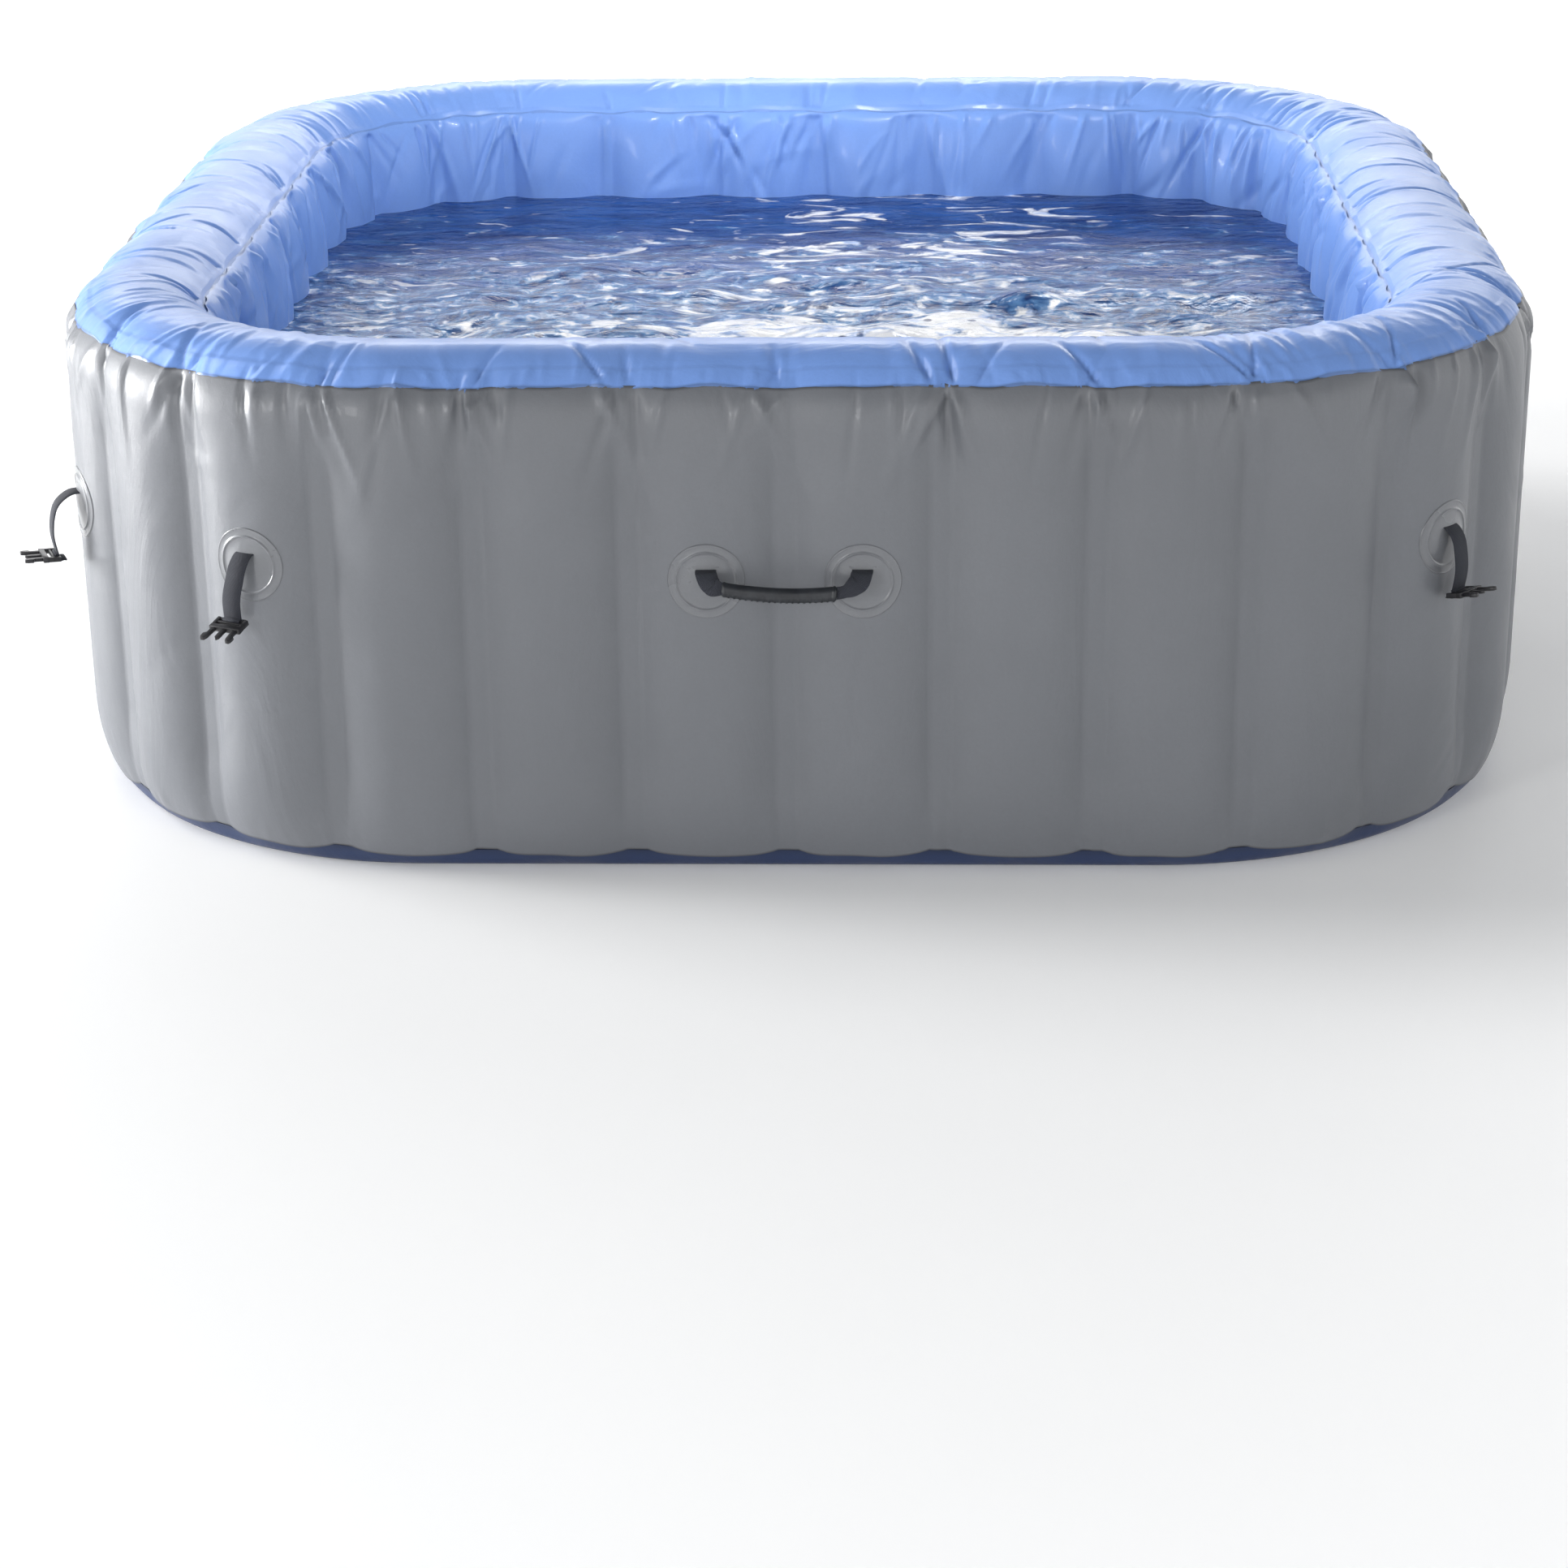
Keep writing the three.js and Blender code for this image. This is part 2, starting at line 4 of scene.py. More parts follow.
import bpy
import numpy as np
from mathutils import Matrix, Vector


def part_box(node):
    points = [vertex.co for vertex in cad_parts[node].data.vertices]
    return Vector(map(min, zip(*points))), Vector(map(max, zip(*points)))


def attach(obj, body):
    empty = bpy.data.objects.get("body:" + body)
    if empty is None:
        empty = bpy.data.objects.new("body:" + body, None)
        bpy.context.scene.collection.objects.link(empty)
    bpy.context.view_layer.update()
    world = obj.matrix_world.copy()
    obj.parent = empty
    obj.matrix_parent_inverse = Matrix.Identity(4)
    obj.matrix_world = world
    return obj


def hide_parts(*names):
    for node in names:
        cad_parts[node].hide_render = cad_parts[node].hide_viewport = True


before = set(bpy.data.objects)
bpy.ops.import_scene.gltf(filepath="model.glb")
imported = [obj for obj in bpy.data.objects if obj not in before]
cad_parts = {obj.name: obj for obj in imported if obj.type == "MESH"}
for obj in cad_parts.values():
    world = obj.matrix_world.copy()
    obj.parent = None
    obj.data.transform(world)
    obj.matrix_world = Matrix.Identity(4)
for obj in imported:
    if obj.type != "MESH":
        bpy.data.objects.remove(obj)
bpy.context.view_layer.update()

# Plan and section of the air wall, in metres; inset is measured inwards from the plan's outline
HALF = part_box("outer_wall")[1].x
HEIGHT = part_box("top_ring")[1].z
CORNER_R = 0.485
WALL_W = 0.188  # width of the crowned top ring
CROWN_RISE = 0.082
CROWN_POWER = 2.24  # superellipse exponent of the crown
OUTER_SEAM_Z = 0.608
INNER_SEAM_Z = 0.605
BASE_SEAM_Z = 0.023
BASE_ROLL = 0.117  # height over which the foot of the wall rolls in
BASE_TUCK = 0.043
BASIN_INSET = 0.206
SHOULDER_Z = 0.48  # above this the inner wall curves in to its seam
FLOOR_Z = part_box("floor_sheet")[1].z
CHANNEL_REACH = 0.028  # bubble channel round the foot of the basin
CHANNEL_MIDDLE = 0.069
CHANNEL_HALF = 0.035
WEB_LOW, WEB_HIGH, WEB_T = 0.118, 0.500, 0.0012
TAPE_LOW, TAPE_HIGH = 0.440, 0.450  # hoop tape that the webs are welded to

LOBES = 36
BAND_W = 0.025
LOBE_RELIEF = 0.0155
LOBE_SWELL = 0.0045  # how far a lobe's crown stands out past the plan's outline
BASIN_RELIEF = 0.020
INNER_PITCH_TRIM = 0.079  # inner lobes are this much narrower at the middle of a side

STRAIGHT = HALF - CORNER_R
QUARTER = 2 * STRAIGHT + CORNER_R * math.pi / 2
PERIMETER = 4 * QUARTER
PITCH = PERIMETER / LOBES

SLOT_RISE = 0.014
STRAP_Z = 0.386
HANDLE_Z = 0.378
PATCH_R = 0.046
WELD_R = 0.035
WEBBING_W = 0.025
WEBBING_T = 0.0018

# Fittings in the back wall: lobe and height
INLET, OUTLET, AIR = (17.5, 0.210), (18.5, 0.210), (16.5, 0.240)
INFLATION, DRAIN = (20.5, 0.330), (15.5, 0.150)
PIPE_R, PIPE_BORE, FLANGE_R = 0.0285, 0.022, 0.045

WATER_LEVEL = 0.474


# ---- camera, light and stage

LENS = 80.2  # millimetres, on a 36 mm sensor


def make_camera():
    """A long lens a little above the rim, looking slightly down at the front."""
    turn, pitch, roll = -0.0378, 0.3792, -0.0125
    distance, elevation, rise, shift_x = 5.195, 0.384, -0.596, 0.0387
    at = Vector((-shift_x, -distance * math.cos(elevation),
                 distance * math.sin(elevation) + HEIGHT / 2 + rise))
    forward = Vector((0, math.cos(pitch), -math.sin(pitch)))
    up = Vector((0, math.sin(pitch), math.cos(pitch)))
    right = Vector((1, 0, 0))
    right, up = right * math.cos(roll) + up * math.sin(roll), up * math.cos(roll) - right * math.sin(roll)
    spin = Matrix.Rotation(-turn, 3, "Z")
    basis = Matrix((spin @ right, spin @ up, spin @ -forward)).transposed()
    data = bpy.data.cameras.new("camera")
    data.lens = LENS
    data.sensor_width = 36
    data.clip_end = 100
    camera = bpy.data.objects.new("camera", data)
    camera.matrix_world = Matrix.Translation(spin @ at) @ basis.to_4x4()
    bpy.context.scene.collection.objects.link(camera)
    bpy.context.scene.camera = camera


def sun(name, direction, strength, angle, color=(1, 1, 1)):
    data = bpy.data.lights.new(name, "SUN")
    data.energy = strength
    data.angle = math.radians(angle)
    data.color = color
    light = bpy.data.objects.new(name, data)
    light.rotation_euler = Vector(direction).to_track_quat("Z", "Y").to_euler()
    bpy.context.scene.collection.objects.link(light)


def panel(name, at, target, size, watts, color=(1, 1, 1), spread=180):
    data = bpy.data.lights.new(name, "AREA")
    data.shape = "RECTANGLE"
    data.size, data.size_y = size
    data.energy = watts
    data.color = color
    data.spread = math.radians(spread)
    light = bpy.data.objects.new(name, data)
    light.location = at
    light.rotation_euler = (Vector(at) - Vector(target)).to_track_quat("Z", "Y").to_euler()
    bpy.context.scene.collection.objects.link(light)


def make_studio():
    """A soft key from the upper left back, washes on the front, the left side and into the basin."""
    world = bpy.data.worlds.new("studio")
    world.use_nodes = True
    world.node_tree.nodes["Background"].inputs["Color"].default_value = (0.93, 0.96, 1.0, 1)
    world.node_tree.nodes["Background"].inputs["Strength"].default_value = 0.20
    bpy.context.scene.world = world
    bpy.context.scene.view_settings.view_transform = "Standard"
    sun("key", (-0.80, 0.30, 0.66), 1.25, 28)
    panel("front_fill", (-3.4, -5.6, 1.7), (0.1, -0.8, 0.3), (0.8, 1.4), 74)
    panel("left_wash", (-4.9, -0.1, 0.6), (-0.8, -0.5, 0.3), (1.2, 1.2), 290)
    panel("basin_wash", (0.5, -1.2, 3.6), (-0.25, 0.95, 0.55), (0.5, 0.5), 6, spread=45)
    panel("backdrop", (0, 8.0, 3.5), (0, 7.4, 0), (9, 2.5), 420)


# ---- materials

class Nodes:
    """A material's node tree, with short calls for the nodes used here."""

    def __init__(self, name, base, rough, **sockets):
        self.material = bpy.data.materials.new(name)
        self.material.use_nodes = True
        self.tree = self.material.node_tree
        self.shader = self.tree.nodes["Principled BSDF"]
        self.shader.inputs["Base Color"].default_value = (*base, 1)
        self.shader.inputs["Roughness"].default_value = rough
        for socket, value in sockets.items():
            self.shader.inputs[socket.replace("_", " ")].default_value = value

    def add(self, kind, **inputs):
        node = self.tree.nodes.new(kind)
        for socket, value in inputs.items():
            self.link_or_set(node.inputs[socket.replace("_", " ")], value)
        return node

    def link_or_set(self, socket, value):
        if isinstance(value, bpy.types.NodeSocket):
            self.tree.links.new(value, socket)
        else:
            socket.default_value = value

    def place(self, stretch=(1, 1, 1)):
        coords = self.add("ShaderNodeTexCoord")
        return self.add("ShaderNodeMapping", Vector=coords.outputs["Object"], Scale=stretch).outputs[0]

    def noise(self, scale, detail=3.0, stretch=(1, 1, 1), distortion=0.0):
        node = self.add("ShaderNodeTexNoise", Vector=self.place(stretch), Scale=scale, Detail=detail,
                        Distortion=distortion)
        return node.outputs["Fac"]

    def ramp(self, value, stops):
        node = self.add("ShaderNodeValToRGB", Fac=value)
        while len(node.color_ramp.elements) < len(stops):
            node.color_ramp.elements.new(0.5)
        for element, (at, color) in zip(node.color_ramp.elements, stops):
            element.position = at
            element.color = (*color, 1)
        return node.outputs["Color"]

    def span(self, value, low, high, start=0.3, end=0.7):
        node = self.add("ShaderNodeMapRange", Value=value)
        node.inputs["From Min"].default_value = start
        node.inputs["From Max"].default_value = end
        node.inputs["To Min"].default_value = low
        node.inputs["To Max"].default_value = high
        return node.outputs["Result"]

    def mix(self, factor, a, b):
        node = self.tree.nodes.new("ShaderNodeMix")
        node.data_type = "RGBA"
        self.link_or_set(node.inputs["Factor"], factor)
        for socket, value in ((node.inputs[6], a), (node.inputs[7], b)):
            self.link_or_set(socket, value if isinstance(value, bpy.types.NodeSocket) else (*value, 1))
        return node.outputs[2]

    def maths(self, operation, a, b):
        node = self.tree.nodes.new("ShaderNodeMath")
        node.operation = operation
        self.link_or_set(node.inputs[0], a)
        self.link_or_set(node.inputs[1], b)
        return node.outputs[0]

    def sum(self, a, b):
        return self.maths("ADD", a, b)

    def product(self, a, b):
        return self.maths("MULTIPLY", a, b)

    def joined(self, x, y):
        return self.add("ShaderNodeCombineXYZ", X=x, Y=y).outputs[0]

    def attribute(self, name):
        node = self.tree.nodes.new("ShaderNodeAttribute")
        node.attribute_name = name
        return node.outputs["Fac"]

    def bump(self, *layers):
        """Each layer is (height, distance in metres); later layers ride on earlier ones."""
        normal = None
        for height, distance in layers:
            node = self.add("ShaderNodeBump", Height=height, Distance=distance, Strength=1.0)
            if normal:
                self.tree.links.new(normal, node.inputs["Normal"])
            normal = node.outputs["Normal"]
        self.tree.links.new(normal, self.shader.inputs["Normal"])

    def color(self, value):
        self.tree.links.new(value, self.shader.inputs["Base Color"])

    def rough(self, value):
        self.tree.links.new(value, self.shader.inputs["Roughness"])


def shade(color, factor):
    return tuple(min(1.0, c * factor) for c in color)


def vinyl(name, base, rough, grain, **sockets):
    """Embossed PVC sheet: cloudy tone, fine grain, shallow handling creases, and painted shade that darkens
    it along its seams.
    """
    n = Nodes(name, base, rough, **sockets)
    cloud = n.ramp(n.noise(2.4, 4.0), [(0.32, shade(base, 0.93)), (0.68, shade(base, 1.06))])
    fleck = n.noise(260, 2.0)
    tone = n.mix(n.span(fleck, 0.0, 0.16), cloud, shade(base, 0.8))
    # Painted shade: a per-point attribute darkens the sheet to about a third of its colour along seams,
    # tucks and weld lips.
    n.color(n.mix(n.attribute("seam_shade"), tone, shade(base, 0.35)))
    n.rough(n.span(n.noise(9, 5.0), rough - 0.05, rough + 0.08))
    crease = n.noise(7, 6.0, (1, 1, 0.45), 1.4)
    n.bump((crease, 0.0035), (n.noise(520, 2.0), grain))
    return n.material


def make_materials():
    looks = {
        "grey_vinyl": vinyl("grey_vinyl", (0.152, 0.160, 0.176), 0.42, 0.00012, Coat_Weight=0.06),
        "blue_vinyl": vinyl("blue_vinyl", (0.195, 0.350, 0.77), 0.37, 0.00006, Coat_Weight=0.08,
                            Specular_IOR_Level=0.32),
        "navy_vinyl": vinyl("navy_vinyl", (0.018, 0.035, 0.10), 0.42, 0.00010, Coat_Weight=0.06),
        "clear_vinyl": vinyl("clear_vinyl", (0.163, 0.170, 0.184), 0.26, 0.00005, Coat_Weight=0.4),
    }
    looks["web_tape"] = vinyl("web_tape", (0.60, 0.61, 0.62), 0.6, 0.0001)

    n = Nodes("webbing", (0.03, 0.033, 0.046), 0.8, Sheen_Weight=0.03)
    uv = n.add("ShaderNodeUVMap")
    uv.uv_map = "length"
    wave = n.add("ShaderNodeTexWave", Vector=uv.outputs["UV"], Scale=330.0, Distortion=0.6, Detail=1.0)
    wave.bands_direction = "DIAGONAL"
    cross = n.add("ShaderNodeTexWave", Vector=uv.outputs["UV"], Scale=260.0, Distortion=0.4)
    cross.bands_direction = "Y"
    thread = n.mix(0.5, wave.outputs["Color"], cross.outputs["Color"])
    n.color(n.mix(thread, (0.012, 0.014, 0.021), (0.036, 0.040, 0.056)))
    n.bump((wave.outputs["Fac"], 0.0003), (cross.outputs["Fac"], 0.0003))
    looks["webbing"] = n.material

    for name, base, rough, grain in (("buckle", (0.012, 0.012, 0.014), 0.36, 0.00005),
                                     ("fitting", (0.035, 0.037, 0.043), 0.42, 0.0001),
                                     ("grip", (0.010, 0.012, 0.016), 0.38, 0.0001),
                                     ("hose", (0.45, 0.47, 0.49), 0.4, 0.0001)):
        n = Nodes(name, base, rough)
        worn = n.ramp(n.noise(60, 4.0), [(0.4, base), (0.75, tuple(c * 1.5 + 0.01 for c in base))])
        n.color(worn)
        n.rough(n.span(n.noise(40, 3.0), rough - 0.08, rough + 0.12))
        n.bump((n.noise(900, 2.0), grain))
        looks[name] = n.material
    return looks


def water_material():
    """Deep blue at the back, broken by foam and bubbles towards the front."""
    n = Nodes("water", (0.02, 0.07, 0.3), 0.10, Specular_IOR_Level=0.4)
    coords = n.add("ShaderNodeTexCoord")
    axes = n.add("ShaderNodeSeparateXYZ", Vector=coords.outputs["Object"])
    forward = n.span(axes.outputs["Y"], 1.0, 0.0, -0.30, 0.70)
    edge = n.sum(forward, n.span(n.noise(7, 8.0, (1, 2.6, 1), 1.4), -0.5, 0.5, 0.25, 0.75))
    blue = n.ramp(n.noise(6, 7.0, (1, 3.5, 1), 1.2),
                  [(0.36, (0.003, 0.020, 0.13)), (0.68, (0.014, 0.080, 0.32))])
    foam = n.ramp(n.noise(34, 10.0, (1, 1.2, 1), 0.6),
                  [(0.34, (0.006, 0.035, 0.15)), (0.47, (0.035, 0.12, 0.31)),
                   (0.58, (0.12, 0.27, 0.52)), (0.70, (1.0, 1.0, 1.0))])
    surface = n.mix(n.span(edge, 0.0, 1.0, 0.30, 0.60), blue, foam)
    across = n.span(axes.outputs["X"], -1.0, 1.0, -0.36, 0.60)
    along = n.span(axes.outputs["Y"], -1.0, 1.0, -0.52, 0.04)
    away = n.add("ShaderNodeVectorMath", Vector=n.joined(across, along))
    away.operation = "LENGTH"
    near = n.sum(n.span(away.outputs["Value"], 1.0, 0.0, 0.1, 1.3),
                 n.span(n.noise(9, 7.0, (1, 2.0, 1), 1.5), -0.5, 0.5, 0.3, 0.7))
    froth = n.ramp(n.noise(16, 9.0, (1, 2.0, 1), 1.2),
                   [(0.34, (0.40, 0.52, 0.78)), (0.46, (1.0, 1.0, 1.0))])
    surface = n.mix(n.span(near, 0.0, 1.0, 0.38, 0.58), surface, froth)
    cells = n.add("ShaderNodeTexVoronoi", Vector=n.place((1, 1, 1)), Scale=34.0)
    chosen = n.add("ShaderNodeSeparateXYZ", Vector=cells.outputs["Color"])
    speck = n.product(n.span(cells.outputs["Distance"], 1.0, 0.0, 0.20, 0.27),
                      n.span(chosen.outputs["X"], 0.0, 1.0, 0.72, 0.74))
    n.color(n.mix(n.product(speck, forward), surface, (0.006, 0.02, 0.10)))
    n.bump((n.noise(14, 7.0, (1, 2.2, 1), 1.0), 0.014), (n.noise(70, 6.0), 0.004))
    return n.material


# ---- surfaces of the inflated wall

def outline(s, inset):
    """Points on the plan at path length s from the front's middle, counter-clockwise, moved inwards."""
    side = np.round(s / QUARTER)
    t = s - side * QUARTER
    turn = np.maximum(0, np.abs(t) - STRAIGHT) / CORNER_R
    reach = CORNER_R - inset
    along = np.sign(t) * np.where(turn > 0, STRAIGHT + reach * np.sin(turn), np.abs(t))
    out = np.where(turn > 0, STRAIGHT + reach * np.cos(turn), HALF - inset)
    angle = side * math.pi / 2
    return along * np.cos(angle) + out * np.sin(angle), along * np.sin(angle) - out * np.cos(angle)


def corner_share(s):
    """0 on the straight sides, 1 in the middle of a corner."""
    t = np.abs(s - np.round(s / QUARTER) * QUARTER)
    return np.clip((t - STRAIGHT * 0.8) / (QUARTER / 2 - STRAIGHT * 0.8), 0, 1)


def inner_s(s):
    """The inner wall's lobes are spread more evenly than the outer wall's."""
    t = s - np.round(s / QUARTER) * QUARTER
    return s - INNER_PITCH_TRIM * t * (1 - (2 * t / QUARTER) ** 2)


def smooth(value, start, end):
    """0 before start, 1 after end, with an even slope between."""
    x = np.clip((value - start) / (end - start), 0, 1)
    return x * x * (3 - 2 * x)


def valley(s):
    """1 in a weld band, falling to 0 on the crown of each lobe."""
    u = np.abs(s / PITCH - np.round(s / PITCH))
    band = BAND_W / PITCH / 2
    return (1 - np.clip((u - band) / (0.5 - band), 0, 1)) ** 2.3


def stations(in_band=4, in_lobe=24):
    """Path lengths with the band edges exactly on a station."""
    out = []
    for k in range(LOBES):
        start = k * PITCH - BAND_W / 2
        out += [start + BAND_W * i / in_band for i in range(in_band)]
        out += [start + BAND_W + (PITCH - BAND_W) * i / in_lobe for i in range(in_lobe)]
    return np.array(out)


def crease_set(count, seed, length, width, height, slant=0.25, at_bands=0.4):
    """Creases that start at a seam: where, how long, how wide, how high and how far they lean."""
    r = np.random.RandomState(seed)
    s = r.uniform(0, PERIMETER, count)
    near = r.rand(count) < at_bands
    s = np.where(near, np.round(s / PITCH) * PITCH + r.normal(0, BAND_W * 0.55, count), s)
    return list(zip(s, r.uniform(*length, count), r.uniform(*width, count),
                    r.uniform(*height, count) * np.where(r.rand(count) < 0.6, 1, -1),
                    r.normal(0, slant, count)))


def relief(s, down, creases):
    """Height of a set of creases at path length s and distance down from their seam."""
    total = np.zeros(np.broadcast(s, down).shape)
    for at, length, width, height, slant in creases:
        away = (s - at - slant * down + PERIMETER / 2) % PERIMETER - PERIMETER / 2
        fade = np.clip(1 - down / length, 0, 1) ** 1.3
        total += height * fade * np.exp(-(away / (width * (0.7 + 0.6 * down / length))) ** 2)
    return total * (0.30 + 0.70 * smooth(down, 0, 0.020))


def ripples(s, across, seed, count, width, height, corner_only=True):
    """Fine ridges that run over the crown of the top ring."""
    r = np.random.RandomState(seed)
    total = np.zeros(np.broadcast(s, across).shape)
    for _ in range(count):
        at, mid, span = r.uniform(0, PERIMETER), r.uniform(0.1, 0.9), r.uniform(0.15, 0.45)
        w, h, lean = r.uniform(*width), r.uniform(*height), r.normal(0, 0.02)
        if corner_only:
            h = h * float(corner_share(np.array(at))) ** 0.7
        away = (s - at - lean * (across - mid) + PERIMETER / 2) % PERIMETER - PERIMETER / 2
        total += h * np.exp(-(away / w) ** 2) * np.exp(-((across - mid) / span) ** 2)
    return total


def seam_wave(s, seed, height):
    """The small rise and fall of a hand-laid seam."""
    r = np.random.RandomState(seed)
    total = 0
    for harmonic in (17, 36, 53, 72, 91):
        swing = height * r.uniform(0.3, 1)
        total = total + swing * np.sin(2 * np.pi * harmonic * s / PERIMETER + r.uniform(0, 6.28))
    return total


OUTER_CREASES = crease_set(300, 11, (0.06, 0.17), (0.004, 0.008), (0.003, 0.0075))
OUTER_CREASES += crease_set(80, 12, (0.08, 0.18), (0.005, 0.009), (0.006, 0.0105), 0.3, 0.9)
INNER_CREASES = crease_set(300, 21, (0.06, 0.22), (0.004, 0.009), (0.004, 0.0100), 0.35, 0.5)
RING_CREASES = crease_set(240, 31, (0.03, 0.08), (0.003, 0.006), (0.0012, 0.0040), 0.3, 0.5)
RING_FOLDS = crease_set(80, 32, (0.08, 0.20), (0.0035, 0.006), (0.004, 0.0085), 0.5, 0.95)
RING_INNER_FOLDS = crease_set(70, 33, (0.06, 0.15), (0.0035, 0.006), (0.003, 0.0065), 0.3, 0.95)
BASE_CREASES = crease_set(140, 41, (0.03, 0.09), (0.005, 0.010), (0.001, 0.003), 0.2, 0.5)


def fold_set(count, seed, low, high, length, width, height, tilt):
    """Free creases in a panel: middle, direction, half length, width and height."""
    r = np.random.RandomState(seed)
    return list(zip(r.uniform(0, PERIMETER, count), r.uniform(low, high, count), r.normal(tilt, 0.5, count),
                    r.uniform(*length, count), r.uniform(*width, count),
                    r.uniform(*height, count) * np.where(r.rand(count) < 0.5, 1, -1)))


def folds(s, z, fold_list):
    """Height of a set of free creases at path length s and height z."""
    total = np.zeros(np.broadcast(s, z).shape)
    for at, height, tilt, length, width, lift in fold_list:
        ds = (s - at + PERIMETER / 2) % PERIMETER - PERIMETER / 2
        along = ds * math.cos(tilt) + (z - height) * math.sin(tilt)
        away = (z - height) * math.cos(tilt) - ds * math.sin(tilt) + 0.15 * along ** 2 / length
        total += lift * np.exp(-(along / length) ** 2 - (away / width) ** 2)
    return total


OUTER_FOLDS = fold_set(110, 61, 0.08, 0.52, (0.02, 0.06), (0.003, 0.007), (0.0006, 0.0018), 0.5)
INNER_FOLDS = fold_set(150, 62, 0.45, 0.60, (0.03, 0.07), (0.004, 0.009), (0.002, 0.0045), -1.1)


def outer_seam(s):
    return OUTER_SEAM_Z + seam_wave(s, 3, 0.0014) - 0.002 * valley(s) ** 3


def inner_seam(s):
    return INNER_SEAM_Z + seam_wave(s, 4, 0.0009)


def base_seam(s):
    return BASE_SEAM_Z - 0.004 + 0.007 * valley(s) ** 2 + seam_wave(s, 5, 0.0006)


def crown_inset(z):
    """How far the wall has curved in under the ring at height z."""
    rise = np.clip((z - (HEIGHT - CROWN_RISE)) / CROWN_RISE, 0, 1)
    return WALL_W / 2 * (1 - (1 - rise ** CROWN_POWER) ** (1 / CROWN_POWER))


def foot_inset(z):
    """How far the foot of the wall rolls in at height z."""
    turn = np.arccos(1 - np.clip(z, 0, BASE_ROLL) / BASE_ROLL)
    return BASE_TUCK * (1 - np.sin(turn))


def flat_share(s, z, inner=0.046, outer=0.082):
    """1 where a fitting's flange needs a flat seat, 0 elsewhere."""
    share = np.zeros(np.broadcast(s, z).shape)
    for lobe, height in (INLET, OUTLET, AIR, INFLATION, DRAIN):
        away = np.hypot((s - lobe * PITCH + PERIMETER / 2) % PERIMETER - PERIMETER / 2, z - height)
        share = np.maximum(share, 1 - smooth(away, inner, outer))
    return share


def wall_inset(s, z):
    """The outer wall's surface: rolled foot, lobes between weld bands, crease-pulled top."""
    keep = (0.45 + 0.55 * smooth(z, 0.02, 0.14)) * (1 - 0.72 * smooth(z, 0.47, OUTER_SEAM_Z))
    lobes = ((LOBE_RELIEF + LOBE_SWELL) * valley(s) - LOBE_SWELL) * keep
    top = relief(s, np.maximum(outer_seam(s) - z, 0), OUTER_CREASES)
    foot = relief(s, np.maximum(z - base_seam(s), 0), BASE_CREASES)
    free = 1 - flat_share(s, z)
    return foot_inset(z) + crown_inset(z) + (lobes - top - foot - folds(s, z, OUTER_FOLDS)) * free


def wall_points(s, z, out):
    """Points on the outer wall at path lengths s and heights z, moved out along its normals."""
    def at(a, b):
        x, y = outline(a, wall_inset(a, b))
        return np.stack([x, y, b + 0 * x], -1)
    step = 0.003
    normal = np.cross(at(s + step, z) - at(s - step, z), at(s, z + step) - at(s, z - step))
    normal /= np.linalg.norm(normal, axis=-1, keepdims=True)
    return at(s, z) + normal * (out + 0 * s)[..., None]


# ---- mesh helpers

def show(obj, material):
    """Put a smooth-shaded object into the scene."""
    bpy.context.scene.collection.objects.link(obj)
    obj.data.materials.append(material)
    for polygon in obj.data.polygons:
        polygon.use_smooth = True


def finish_piece(obj, body, slot, replaces=()):
    """Show a piece of the tub, on its body, in place of its CAD nodes."""
    show(obj, LOOKS[slot])
    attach(obj, body)
    if replaces:
        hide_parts(*replaces)
    return obj


def mesh_object(name, vertices, faces):
    mesh = bpy.data.meshes.new(name)
    mesh.from_pydata([tuple(v) for v in vertices], [], faces)
    mesh.validate()
    mesh.update()
    return bpy.data.objects.new(name, mesh)


def loop_faces(rows, columns, first=0):
    """Quads of a grid of rows by columns whose columns close on themselves."""
    j, i = np.meshgrid(np.arange(rows - 1), np.arange(columns), indexing="ij")
    k = (i + 1) % columns
    quads = np.stack([j * columns + i, j * columns + k, (j + 1) * columns + k, (j + 1) * columns + i], -1)
    return (quads.reshape(-1, 4) + first).tolist()


def set_attribute(obj, name, values):
    layer = obj.data.attributes.new(name, "FLOAT", "POINT")
    layer.data.foreach_set("value", np.ascontiguousarray(values, dtype=np.float32).ravel())


def skin(name, x, y, z, seam_shade, slot, replaces, outward=True):
    """A closed band of vinyl from grids of rows (bottom to top) by stations."""
    rows, columns = x.shape
    points = np.stack([x, y, z], -1).reshape(-1, 3)
    faces = loop_faces(rows, columns)
    if not outward:
        faces = [face[::-1] for face in faces]
    obj = mesh_object(name, points, faces)
    set_attribute(obj, "seam_shade", seam_shade)
    return finish_piece(obj, "root", slot, replaces)


# ---- the vinyl skins

def make_outer_wall():
    """The grey wall from its base seam to the ring, with rows closer together near both seams."""
    s = stations(5, 36)[None, :]
    v = np.linspace(0, 1, 66)[:, None]
    low, high = base_seam(s), outer_seam(s)
    z = low + (high - low) * (0.35 * v + 0.65 * smooth(v, 0, 1))
    x, y = outline(s + 0 * z, wall_inset(s, z))
    # Painted shade in the 3 mm next to the ring's seam and next to the base seam.
    seam_shade = np.clip(1 - (high - z) / 0.003, 0, 1) + np.clip(1 - (z - low) / 0.003, 0, 1)
    skin("outer_wall_skin", x, y, z, seam_shade, "grey_vinyl", ["outer_wall"])


def ring_section(v):
    """Angles over the crown from the outer seam (v 0) to the inner seam (v 1)."""
    def angle(z):
        return math.asin(((z - (HEIGHT - CROWN_RISE)) / CROWN_RISE) ** (CROWN_POWER / 2))
    start, end = angle(OUTER_SEAM_Z), math.pi - angle(INNER_SEAM_Z)
    t = start + (end - start) * v
    power = 2 / CROWN_POWER
    across = np.sign(np.cos(t)) * np.abs(np.cos(t)) ** power
    return WALL_W / 2 * (1 - across), HEIGHT - CROWN_RISE + CROWN_RISE * np.sin(t) ** power


